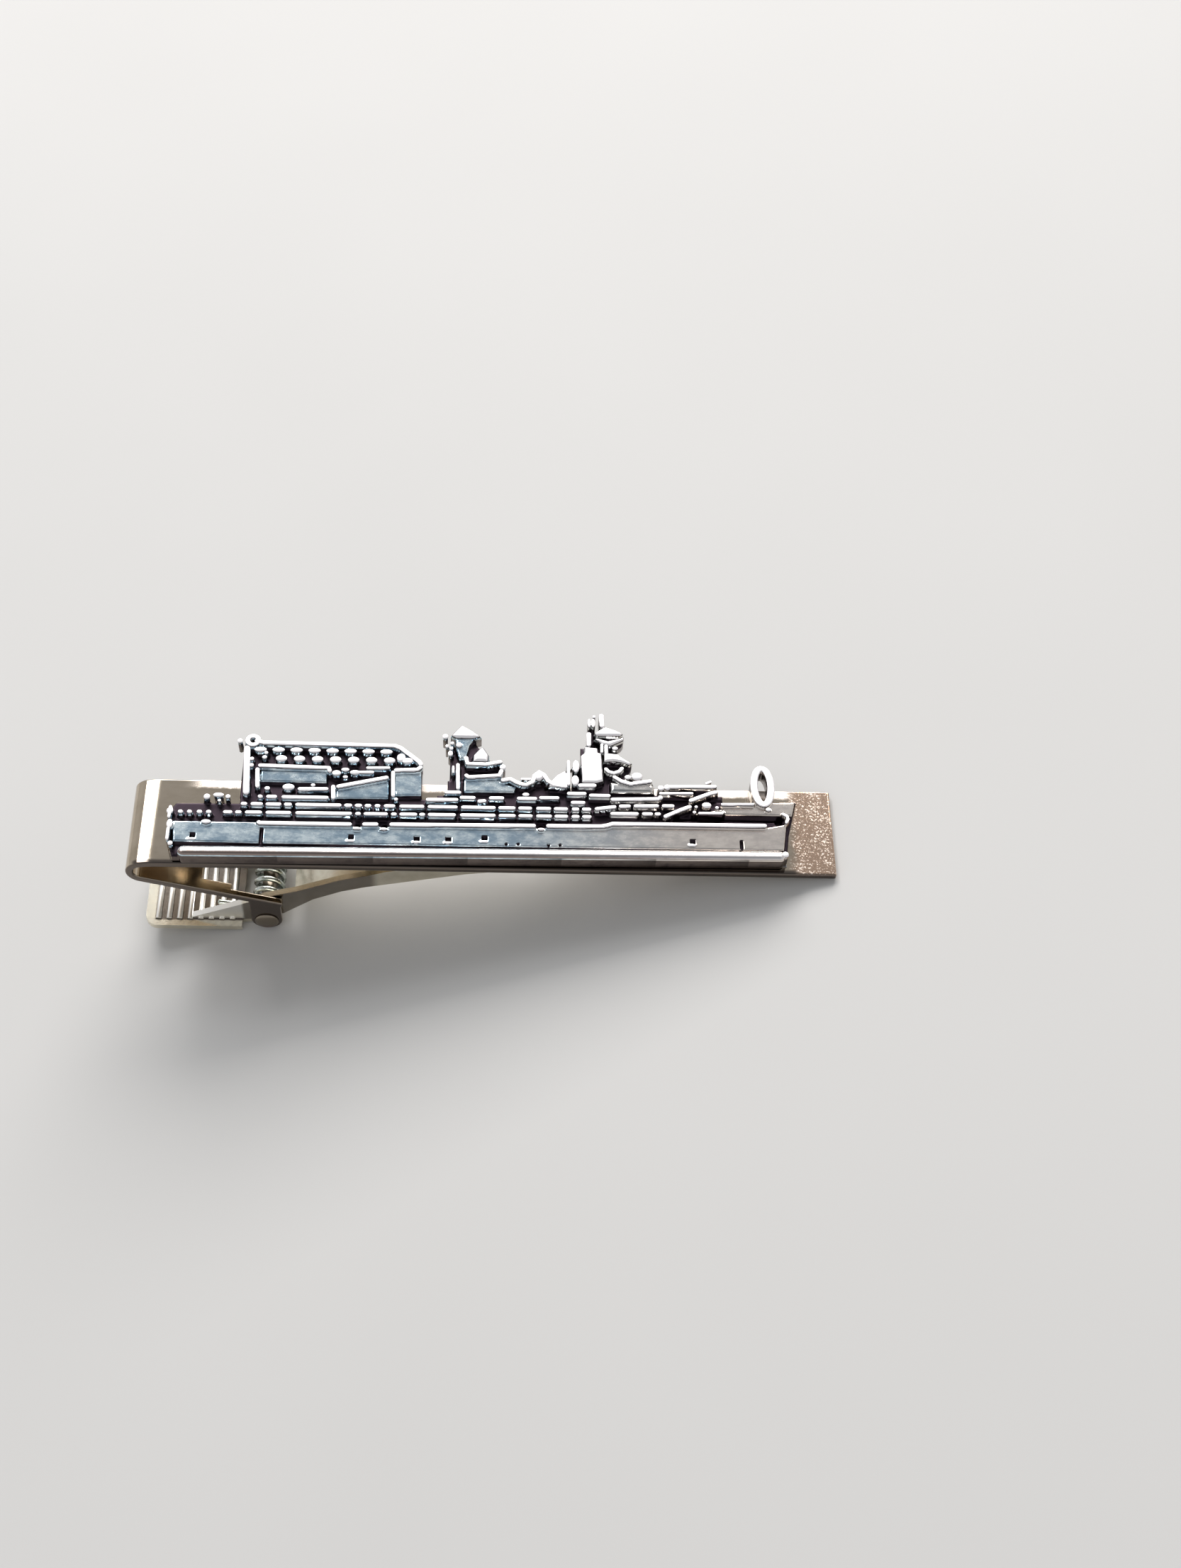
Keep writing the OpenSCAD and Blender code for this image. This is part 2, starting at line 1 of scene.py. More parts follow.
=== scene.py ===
"""Looks of a sprung tie clip: folded strip, hinged jaw, coil spring and cast ship relief.

X runs along the bar from the bend to the bare tail, Y across it towards the masts, and Z out of
its front face. Sizes are in millimetres until a mesh is made.
"""

import json
import logging
import math
from dataclasses import dataclass, replace
from enum import Enum
from typing import Any, Iterable, Sequence

import bmesh
import bpy
import numpy as np
from mathutils import Matrix, Vector

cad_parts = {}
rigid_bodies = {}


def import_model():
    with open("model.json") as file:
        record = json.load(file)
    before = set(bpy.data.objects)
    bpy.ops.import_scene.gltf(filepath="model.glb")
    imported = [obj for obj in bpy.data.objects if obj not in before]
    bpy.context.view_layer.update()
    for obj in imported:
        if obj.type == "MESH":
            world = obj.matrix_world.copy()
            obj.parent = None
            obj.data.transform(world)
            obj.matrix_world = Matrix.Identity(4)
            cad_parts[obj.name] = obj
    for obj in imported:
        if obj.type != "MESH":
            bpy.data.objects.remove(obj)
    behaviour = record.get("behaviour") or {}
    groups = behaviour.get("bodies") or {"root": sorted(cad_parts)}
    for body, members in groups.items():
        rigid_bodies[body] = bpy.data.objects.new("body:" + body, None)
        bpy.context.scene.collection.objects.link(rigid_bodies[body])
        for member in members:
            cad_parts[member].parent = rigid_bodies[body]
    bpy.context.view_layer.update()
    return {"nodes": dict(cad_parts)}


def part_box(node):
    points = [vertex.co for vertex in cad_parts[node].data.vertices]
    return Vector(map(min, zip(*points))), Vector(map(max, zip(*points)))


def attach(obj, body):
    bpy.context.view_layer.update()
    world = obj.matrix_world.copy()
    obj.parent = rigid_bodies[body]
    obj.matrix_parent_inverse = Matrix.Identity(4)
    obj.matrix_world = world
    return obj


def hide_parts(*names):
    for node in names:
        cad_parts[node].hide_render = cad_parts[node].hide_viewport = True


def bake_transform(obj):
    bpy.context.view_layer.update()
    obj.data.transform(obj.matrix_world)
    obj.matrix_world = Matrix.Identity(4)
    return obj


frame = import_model()
LOG = logging.getLogger("tie_clip")
MM = 0.001
# mesh attributes: mark -1 paints shade into the pits and 1 paints a highlight on the lips; wall marks the
# outer walls and the back for painted shade
MARK = "mark"
WALL = "wall"

Point = tuple[float, float]
Triple = tuple[float, float, float]
Colour = Triple


class Body(Enum):
    """The two bodies of the clip that pieces ride on."""

    CLIP = "clip"
    LEVER = "lever"


def corner(node: str, which: int) -> Vector:
    """Lowest (0) or highest (1) corner of a CAD node, in millimetres."""
    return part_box(node)[which] / MM


# Node trees

class Sock:
    """A node's output socket that turns arithmetic into nodes."""

    def __init__(self, tree: "Tree", socket: bpy.types.NodeSocket) -> None:
        """Keeps the tree and the socket."""
        self.tree = tree
        self.socket = socket

    def _math(self, operation: str, first: Any, second: Any = 0.0) -> "Sock":
        """One Math node on two values or sockets."""
        return self.tree.add("ShaderNodeMath", {"operation": operation}, {0: first, 1: second})

    def __add__(self, other: Any) -> "Sock":
        """Sum with a value or socket."""
        return self._math("ADD", self, other)

    def __sub__(self, other: Any) -> "Sock":
        """Difference with a value or socket."""
        return self._math("SUBTRACT", self, other)

    def __rsub__(self, other: Any) -> "Sock":
        """A value minus this socket."""
        return self._math("SUBTRACT", other, self)

    def __mul__(self, other: Any) -> "Sock":
        """Product with a value or socket."""
        return self._math("MULTIPLY", self, other)

    def __pow__(self, other: Any) -> "Sock":
        """This socket to a power."""
        return self._math("POWER", self, other)

    def __abs__(self) -> "Sock":
        """This socket without its sign."""
        return self._math("ABSOLUTE", self)

    def larger(self, other: Any) -> "Sock":
        """The larger of this socket and a value or socket."""
        return self._math("MAXIMUM", self, other)

    def sine(self) -> "Sock":
        """Sine of this socket."""
        return self._math("SINE", self)

    __radd__ = __add__
    __rmul__ = __mul__


class Tree:
    """A node tree with one method that adds any node."""

    def __init__(self, tree: bpy.types.NodeTree) -> None:
        """Empties the tree and keeps it."""
        self.tree = tree
        self.tree.nodes.clear()

    def add(self, kind: str, settings: dict[str, Any] | None = None,
            inputs: dict[Any, Any] | None = None, out: Any = 0) -> Sock:
        """Adds a node.

        Args:
            kind: the node's type name.
            settings: its properties, set first; stops holds a ramp's places and colours.
            inputs: values or sockets by the input's name or number.
            out: name or number of the output that is returned.

        Returns:
            The chosen output socket.
        """
        node = self.tree.nodes.new(kind)
        for name, value in (settings or {}).items():
            if name == "stops":
                self._set_ramp(node.color_ramp, value)
            else:
                setattr(node, name, value)
        for key, value in (inputs or {}).items():
            if isinstance(value, Sock):
                self.tree.links.new(value.socket, node.inputs[key])
            elif isinstance(value, bpy.types.NodeSocket):
                self.tree.links.new(value, node.inputs[key])
            else:
                node.inputs[key].default_value = value
        return Sock(self, node.outputs[out]) if len(node.outputs) else Sock(self, None)

    @staticmethod
    def _set_ramp(ramp: bpy.types.ColorRamp, stops: Sequence[tuple[float, Colour]]) -> None:
        """Gives a colour ramp its stops.

        Args:
            ramp: a new ramp.
            stops: the place and the colour of each stop.
        """
        while len(ramp.elements) < len(stops):
            ramp.elements.new(1.0)
        for element, (place, colour) in zip(ramp.elements, stops):
            element.position = place
            element.color = (*colour, 1.0)


@dataclass(frozen=True)
class Grain:
    """A pattern of soft noise, with blotches of a size in millimetres.

    The detail counts octaves of finer noise, the stretch says how many times longer the blotches
    are along X, Y and Z, and rough is the share that each finer octave keeps.
    """

    size: float
    detail: float = 3.0
    stretch: Triple = (1.0, 1.0, 1.0)
    rough: float = 0.55


class Finish(Tree):
    """A material's tree, with the patterns that the clip's metals share."""

    def __init__(self, name: str) -> None:
        """Starts a material.

        Args:
            name: the material's name.
        """
        self.material = bpy.data.materials.new(name)
        self.material.use_nodes = True
        super().__init__(self.material.node_tree)
        self.place = self.add("ShaderNodeTexCoord", out="Object")
        self.x, self.y, self.z = self._axes()

    def _axes(self) -> tuple[Sock, Sock, Sock]:
        """X, Y and Z of the object's coordinates, in millimetres."""
        split = self.add("ShaderNodeSeparateXYZ", inputs={0: self.place}).socket.node
        return tuple(Sock(self, split.outputs[i]) * (1 / MM) for i in range(3))

    def noise(self, grain: Grain) -> Sock:
        """Adds a pattern of soft noise.

        Args:
            grain: the pattern.

        Returns:
            Its value, from 0 to 1.
        """
        scale = tuple(1 / s for s in grain.stretch)
        place = self.add("ShaderNodeMapping", {"vector_type": "POINT"}, {0: self.place, "Scale": scale})
        return self.add("ShaderNodeTexNoise", None, {
            "Vector": place, "Scale": 1 / (grain.size * MM), "Detail": grain.detail,
            "Roughness": grain.rough,
        })

    def ramp(self, value: Sock, low: float, high: float) -> Sock:
        """0 below low, 1 above high and a smooth step between."""
        return self.add("ShaderNodeMapRange", {"interpolation_type": "SMOOTHSTEP"},
                        {"Value": value, "From Min": low, "From Max": high})

    def fade(self, value: Sock, low: float, high: float) -> Sock:
        """1 below low, 0 above high and a smooth step between."""
        return 1.0 - self.ramp(value, low, high)

    def over(self, value: Sock, level: float, band: Point) -> Sock:
        """0 to 1 across a band whose ends are counted from a level."""
        return self.ramp(value, level + band[0], level + band[1])

    def kept(self, name: str) -> Sock:
        """A value that the mesh keeps on its points under a name."""
        return self.add("ShaderNodeAttribute", {"attribute_name": name}, out="Fac")

    def blend(self, share: Any, first: Any, second: Any) -> Sock:
        """Mixes two colours.

        Args:
            share: share of the second colour, from 0 to 1.
            first: colour at 0, a socket or a tuple.
            second: colour at 1, a socket or a tuple.

        Returns:
            The mixed colour.
        """
        sides = {6: first, 7: second}
        values = {k: (*v, 1.0) if isinstance(v, tuple) else v for k, v in sides.items()}
        settings = {"data_type": "RGBA", "clamp_factor": True}
        return self.add("ShaderNodeMix", settings, {0: share, **values}, out=2)

    def bump(self, height: Sock, depth: float, under: Sock | None = None) -> Sock:
        """Turns a height into a bump.

        Args:
            height: the height, from 0 to 1.
            depth: how far 1 stands above 0, in millimetres.
            under: another bump that this one lies over.

        Returns:
            The bumped normal.
        """
        inputs = {"Height": height, "Distance": depth * MM, "Strength": 1.0}
        if under:
            inputs["Normal"] = under
        return self.add("ShaderNodeBump", None, inputs)

    def metal(self, colour: Sock, roughness: Sock, normal: Sock) -> bpy.types.Material:
        """Closes the material as a bare metal.

        Args:
            colour: its colour.
            roughness: how dull it is, from 0 to 1.
            normal: its bumps.

        Returns:
            The material.
        """
        shader = self.add("ShaderNodeBsdfPrincipled", None,
                          {"Base Color": colour, "Metallic": 1.0, "Roughness": roughness, "Normal": normal})
        self.add("ShaderNodeOutputMaterial", None, {"Surface": shader})
        return self.material


# Finishes

@dataclass(frozen=True)
class PlatedStrip:
    """Polished nickel with fine scratches, a painted highlight along the far edge, painted shade on the cut
    edges and under the casting, and a tail worn to a brown satin.
    """

    polished: Colour = (0.55, 0.47, 0.37)
    cloudy: Colour = (0.44, 0.37, 0.28)
    worn: Colour = (0.50, 0.355, 0.26)
    bare: Colour = (0.95, 0.81, 0.69)
    # painted highlight: a lighter tone along the far edge of the front face
    hazed: Colour = (1.0, 0.90, 0.82)
    # painted shade: a dark tone for the cut edges and for the casting's shadow on the near strip of the front
    # face
    sheared: Colour = (0.11, 0.09, 0.08)
    half: float = 3.95
    gloss: float = 0.07
    cloud: Grain = Grain(2.6, 4.0, (2.0, 1.0, 1.0))
    cloud_range: Point = (0.35, 0.7)
    scratch: Grain = Grain(0.05, 2.0, (40.0, 1.0, 1.0))
    scratch_dull: float = 0.05
    scratch_depth: float = 0.0012
    speck: Grain = Grain(0.16)
    patch: Grain = Grain(1.6, 2.0)
    patch_share: float = 0.3
    speck_range: Point = (0.64, 0.82)
    pitting: Grain = Grain(0.22, 4.0)
    pit_depth: float = 0.006
    tail_range: Point = (21.6, 22.6)
    tail_levels: Point = (-0.1, 0.5)
    tail_edge: Grain = Grain(0.8)
    tail_ragged: float = 1.2
    tail_dull: Point = (0.08, 0.1)
    # painted shade on the cut edges
    sheared_band: Point = (-0.12, -0.03)
    sheared_share: float = 0.9
    # painted shadow of the casting along the near edge of the front face
    flux: Grain = Grain(1.5)
    flux_ragged: float = 0.1
    flux_band: Point = (-0.45, -0.2)
    flux_end: Point = (21.4, 22.0)
    flux_levels: Point = (0.2, 0.4)
    # painted highlight along the far edge: its noise, ragged edge, band, reach, levels, share and extra
    # dullness
    haze: Grain = Grain(0.5)
    haze_ragged: float = 0.4
    haze_band: Point = (-0.75, -0.45)
    haze_range: Point = (-27.0, -24.5)
    haze_levels: Point = (0.3, 0.5)
    haze_share: float = 0.7
    haze_dull: float = 0.2

    def _tail(self, look: Finish) -> Sock:
        """Where the bare tail is worn."""
        ragged = look.x + look.noise(self.tail_edge) * self.tail_ragged
        return look.ramp(ragged, *self.tail_range) * look.ramp(look.z, *self.tail_levels)

    def _sheared(self, look: Finish) -> Sock:
        """Finds where painted shade darkens the cut edges and the near strip of the front face under the
        casting.

        Args:
            look: the material's tree.

        Returns:
            The share of the painted shade, from 0 to 1.
        """
        near = look.y * -1.0 + look.noise(self.flux) * self.flux_ragged
        flux = look.over(near, self.half, self.flux_band) * look.fade(look.x, *self.flux_end)
        cut = look.over(abs(look.y), self.half, self.sheared_band)
        return cut.larger(flux * look.ramp(look.z, *self.flux_levels))

    def _haze(self, look: Finish) -> Sock:
        """Where the painted highlight lies along the far edge of the front face."""
        haze = look.over(look.y + look.noise(self.haze) * self.haze_ragged, self.half, self.haze_band)
        return haze * look.ramp(look.x, *self.haze_range) * look.ramp(look.z, *self.haze_levels)

    def build(self) -> bpy.types.Material:
        """Builds the material, with its wear, painted highlight and painted shade placed along the bar.

        Returns:
            The material.
        """
        look = Finish("plated_strip")
        cloud = look.ramp(look.noise(self.cloud), *self.cloud_range)
        scratch = look.noise(self.scratch)
        spots = look.noise(self.speck) + look.noise(self.patch) * self.patch_share
        speck = look.ramp(spots, *self.speck_range)
        tail = self._tail(look)
        haze = self._haze(look) * (1.0 - tail)
        worn = look.blend(speck, self.worn, self.bare)
        face = look.blend(tail, look.blend(cloud, self.polished, self.cloudy), worn)
        # paints the highlight along the far edge
        face = look.blend(haze * self.haze_share, face, self.hazed)
        # paints the shade on the cut edges and the casting's shadow
        colour = look.blend(self._sheared(look) * self.sheared_share, face, self.sheared)
        worn_dull = self.tail_dull[0] + speck * self.tail_dull[1]
        roughness = self.gloss + scratch * self.scratch_dull + tail * worn_dull + haze * self.haze_dull
        fine = look.bump(scratch, self.scratch_depth)
        return look.metal(colour, roughness, look.bump(look.noise(self.pitting) * tail, self.pit_depth, fine))


@dataclass(frozen=True)
class CastPlate:
    """Plated casting: white satin crests with a painted highlight, blue-grey mottled sides, hollows darkened
    partly by patina and partly by painted shade, and outer walls in painted shade.
    """

    # dark tone of the hollows and the ridges' sides: partly patina, partly painted shade
    hollow: Colour = (0.035, 0.026, 0.033)
    shade: Colour = (0.38, 0.51, 0.61)
    light: Colour = (0.86, 0.97, 1.0)
    warm: Colour = (0.84, 0.71, 0.60)
    # near-white crests: polished tops, lightened further as a painted highlight
    crest: Colour = (0.98, 0.955, 0.965)
    # painted shade on the outer walls and the back
    rim: Colour = (0.38, 0.355, 0.345)
    # painted brown shade on the outer wall near the keel
    brown: Colour = (0.15, 0.122, 0.108)
    blotch: Grain = Grain(0.8, 6.0, (1.6, 1.0, 1.0), 0.68)
    light_range: Point = (0.36, 0.68)
    bow: Point = (-2.0, 18.0)
    bow_ragged: float = 5.0
    bow_share: float = 0.75
    browned: Point = (0.2, 0.7)
    # share of the walls mottled at random towards the hollows' dark painted shade
    soiled: Point = (0.4, 0.9)
    grain: Grain = Grain(0.14)
    grain_rise: float = 0.04
    grain_depth: float = 0.003
    wave: Grain = Grain(0.9, 2.0)
    wave_depth: float = 0.005
    flat_foot: Point = (-0.12, -0.03)
    flat_top: Point = (0.12, 0.16)
    crest_foot: Point = (-0.16, -0.08)
    marked: Point = (0.2, 0.8)
    walled: Point = (0.5, 1.0)
    satin: float = 0.34
    flat_gloss: float = 0.23
    wall_gloss: float = 0.06
    blotch_dull: float = 0.06
    crest_dull: Point = (0.14, 0.2)

    def _sides(self, look: Finish, blotch: Sock) -> Sock:
        """Colours the flat sides, cool and mottled, and warmer towards the bow.

        Args:
            look: the material's tree.
            blotch: the mottling, from 0 to 1.

        Returns:
            The colour.
        """
        cool = look.blend(look.ramp(blotch, *self.light_range), self.shade, self.light)
        warmed = look.ramp(look.x + blotch * self.bow_ragged, *self.bow)
        return look.blend(warmed * self.bow_share, cool, self.warm)

    def _depths(self, look: Finish, blotch: Sock, wall: Sock, keel: float) -> Sock:
        """Colour of the hollows, and of the outer walls, in painted shade that turns brown at the keel and is
        mottled towards the hollows' dark tone.
        """
        rim = look.blend(look.over(look.y, keel, self.browned), self.brown, self.rim)
        return look.blend(wall, self.hollow, look.blend(look.ramp(blotch, *self.soiled), rim, self.hollow))

    def build(self, panel: float, ridge: float, keel: float) -> bpy.types.Material:
        """Builds the material.

        Args:
            panel: level of the flat sides; hollows below them are dark with patina and painted shade, and
                outer walls take a lighter painted shade.
            ridge: level of the crests.
            keel: place of the keel across the bar; the painted shade on the outer wall there is brown.

        Returns:
            The material.
        """
        look = Finish("cast_plate")
        blotch = look.noise(self.blotch)
        grain = look.noise(self.grain)
        level = look.z + grain * self.grain_rise - self.grain_rise / 2
        mark, wall = look.kept(MARK), look.ramp(look.kept(WALL), *self.walled)
        flat = look.over(level, panel, self.flat_foot) * (1.0 - look.over(level, panel, self.flat_top))
        # the pits marked -1 take the dark painted shade
        flat = flat * look.fade(mark * -1.0, *self.marked)
        # painted highlight on the crests and on the lips marked 1
        crest = look.over(level, ridge, self.crest_foot).larger(look.ramp(mark, *self.marked))
        body = look.blend(flat, self._depths(look, blotch, wall, keel), self._sides(look, blotch))
        colour = look.blend(crest, body, self.crest)
        roughness = self.satin - flat * self.flat_gloss - wall * self.wall_gloss
        roughness = roughness + flat * blotch * self.blotch_dull
        roughness = roughness + crest * (self.crest_dull[0] + flat * self.crest_dull[1])
        wave = look.bump(look.noise(self.wave) * (1.0 - crest), self.wave_depth)
        return look.metal(colour, roughness, look.bump(grain, self.grain_depth, wave))


@dataclass(frozen=True)
class ShadedBead:
    """The moulding at the keel, bright along its top and painted with brown shade on its lower, near side."""

    bright: Colour = (0.86, 0.82, 0.81)
    # painted brown shade on the moulding's lower, near side
    brown: Colour = (0.34, 0.27, 0.24)
    gloss: float = 0.17
    browned: Point = (0.0, 0.3)
    edge: Grain = Grain(0.9)
    edge_ragged: float = 0.16
    line: Grain = Grain(0.06, 2.0, (30.0, 1.0, 1.0))
    line_dull: float = 0.08
    line_depth: float = 0.001

    def build(self, axis_y: float) -> bpy.types.Material:
        """Builds the material, with painted brown shade on the side towards the bar's near edge.

        Args:
            axis_y: place of the moulding's axis across the bar.

        Returns:
            The material.
        """
        look = Finish("burnished_bead")
        near = (look.y + look.noise(self.edge) * self.edge_ragged) * -1.0
        low = look.over(near, -axis_y, self.browned)
        line = look.noise(self.line)
        # paints the brown shade on the near side
        colour = look.blend(low, self.bright, self.brown)
        return look.metal(colour, self.gloss + line * self.line_dull, look.bump(line, self.line_depth))


@dataclass(frozen=True)
class LeverPlate:
    """Bright nickel with a warm cast, with ribs lightened by a painted highlight and grooves between them
    darkened by painted shade.
    """

    bright: Colour = (0.84, 0.79, 0.66)
    dull: Colour = (0.66, 0.60, 0.47)
    # painted shade for the grooves and the walls' outer faces
    groove: Colour = (0.15, 0.125, 0.11)
    # painted highlight on the rib crowns
    crown: Colour = (0.97, 0.95, 0.90)
    gloss: float = 0.13
    brush: Grain = Grain(0.07, 2.0, (18.0, 1.0, 1.0))
    brush_dull: float = 0.1
    brush_depth: float = 0.002
    cloud: Grain = Grain(1.7, 4.0)
    cloud_range: Point = (0.3, 0.8)
    cloud_dull: float = 0.05
    worn: Grain = Grain(0.3)
    worn_rise: float = 0.06
    field_start: Point = (-0.1, 0.0)
    field_end: Point = (0.0, 0.3)
    field_side: Point = (0.0, 0.12)
    groove_level: Point = (-0.1, 0.0)
    groove_share: float = 0.9
    rib_foot: Point = (0.06, 0.14)
    crown_dull: float = 0.16
    wall_face: Point = (-0.06, -0.01)
    wall_level: Point = (0.0, 0.1)
    wall_share: float = 0.75

    def build(self, tab: float, ribs: Point, ribs_half: float, wall: float) -> bpy.types.Material:
        """Builds the material; painted shade darkens the grooves between the ribs and the walls' outer faces,
        and a painted highlight lightens the rib crowns.

        Args:
            tab: level of the tab's upper face.
            ribs: where the ribs start and end along the lever.
            ribs_half: how far the ribs reach from the middle.
            wall: how far the walls' outer faces stand from the middle.

        Returns:
            The material.
        """
        look = Finish("lever_plate")
        brush = look.noise(self.brush)
        cloud = look.noise(self.cloud)
        metal = look.blend(look.ramp(cloud, *self.cloud_range), self.bright, self.dull)
        level = look.z + look.noise(self.worn) * self.worn_rise
        side = abs(look.y)
        field = look.over(look.x, ribs[0], self.field_start)
        field = field * (1.0 - look.over(look.x, ribs[1], self.field_end))
        field = field * (1.0 - look.over(side, ribs_half, self.field_side))
        above = look.over(level, tab, self.rib_foot)
        deep = look.over(level, tab, self.groove_level) * (1.0 - above) * field
        crown = above * field
        outer = look.over(side, wall, self.wall_face) * look.over(level, tab, self.wall_level)
        # painted shade on the walls' outer faces
        metal = look.blend(outer * self.wall_share, metal, self.groove)
        # painted highlight on the rib crowns
        metal = look.blend(crown, metal, self.crown)
        # painted shade in the grooves
        colour = look.blend(deep * self.groove_share, metal, self.groove)
        roughness = self.gloss + brush * self.brush_dull + cloud * self.cloud_dull + crown * self.crown_dull
        return look.metal(colour, roughness, look.bump(brush, self.brush_depth))


@dataclass(frozen=True)
class DrawnWire:
    """Spring wire: grey steel with drawing lines along it and a faint green tarnish."""

    steel: Colour = (0.62, 0.66, 0.64)
    tarnish: Colour = (0.42, 0.48, 0.42)
    gloss: float = 0.2
    line: Grain = Grain(0.05, 2.0, (1.0, 9.0, 1.0))
    line_dull: float = 0.12
    line_depth: float = 0.002
    patch: Grain = Grain(0.9)
    patch_range: Point = (0.4, 0.7)

    def build(self) -> bpy.types.Material:
        """Builds the material.

        Returns:
            The material.
        """
        look = Finish("drawn_wire")
        line = look.noise(self.line)
        tarnished = look.ramp(look.noise(self.patch), *self.patch_range)
        colour = look.blend(tarnished, self.steel, self.tarnish)
        return look.metal(colour, self.gloss + line * self.line_dull, look.bump(line, self.line_depth))


@dataclass(frozen=True)
class TurnedPin:
    """Pin steel with turning rings on its heads and a red-brown painted reflection on their lower side."""

    steel: Colour = (0.27, 0.23, 0.18)
    # painted reflection: red-brown on the heads' lower side
    tarnish: Colour = (0.20, 0.13, 0.10)
    satin: float = 0.26
    turning: float = 60.0
    ring_depth: float = 0.002
    edge: Grain = Grain(0.5)
    edge_ragged: float = 0.8
    edge_range: Point = (-0.35, 0.35)
    blotch: Grain = Grain(0.2)
    blotch_dull: float = 0.14

    def build(self, axis_x: float, axis_z: float) -> bpy.types.Material:
        """Builds the material, with rings about the pin's axis.

        Args:
            axis_x: place of the axis along the clip.
            axis_z: level of the axis.

        Returns:
            The material.
        """
        look = Finish("turned_pin")
        across = look.x - axis_x
        up = look.z - axis_z
        radius = (across * across + up * up) ** 0.5
        ring = (radius * self.turning).sine()
        low = look.ramp((up + look.noise(self.edge) * self.edge_ragged) * -1.0, *self.edge_range)
        # paints the red-brown reflection on the lower side
        colour = look.blend(low, self.steel, self.tarnish)
        roughness = self.satin + look.noise(self.blotch) * self.blotch_dull
        return look.metal(colour, roughness, look.bump(ring, self.ring_depth))


@dataclass(frozen=True)
class DullSolder:
    """Soft grey solder with a grainy skin."""

    bright: Colour = (0.52, 0.52, 0.54)
    dark: Colour = (0.22, 0.22, 0.23)
    dullness: float = 0.45
    grain: Grain = Grain(0.3, 5.0)
    grain_range: Point = (0.35, 0.65)
    grain_dull: float = 0.2
    grain_depth: float = 0.02

    def build(self) -> bpy.types.Material:
        """Builds the material.

        Returns:
            The material.
        """
        look = Finish("dull_solder")
        grain = look.noise(self.grain)
        colour = look.blend(look.ramp(grain, *self.grain_range), self.dark, self.bright)
        return look.metal(colour, self.dullness + grain * self.grain_dull,
                          look.bump(grain, self.grain_depth))


# Pieces and blanks

def put(mesh: bpy.types.Mesh, name: str, material: bpy.types.Material | None = None) -> bpy.types.Object:
    """Puts a mesh into the scene as an object at the origin.

    Args:
        mesh: the mesh, with its place in its points.
        name: the object's name.
        material: its finish; a blank has none yet.

    Returns:
        The object.
    """
    thing = bpy.data.objects.new(name, mesh)
    bpy.context.scene.collection.objects.link(thing)
    if material:
        mesh.materials.clear()
        mesh.materials.append(material)
    return thing


def dress(mesh: bpy.types.Mesh, name: str, material: bpy.types.Material, body: Body,
          replaced: Sequence[str] = ()) -> bpy.types.Object:
    """Makes a finished piece of a mesh.

    Args:
        mesh: the finished mesh, in the clip's frame.
        name: the piece's name.
        material: its finish.
        body: the body that it rides on.
        replaced: CAD nodes that it stands for.

    Returns:
        The piece.
    """
    mesh.name = name
    piece = put(mesh, name, material)
    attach(piece, body.value)
    if replaced:
        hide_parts(*replaced)
    LOG.info("%s: %d faces", name, len(mesh.polygons))
    return piece


def evaluated(thing: bpy.types.Object) -> bpy.types.Mesh:
    """Applies an object's modifiers and removes the object.

    Args:
        thing: the object.

    Returns:
        Its finished mesh.
    """
    graph = bpy.context.evaluated_depsgraph_get()
    mesh = bpy.data.meshes.new_from_object(thing.evaluated_get(graph))
    bpy.data.objects.remove(thing)
    return mesh


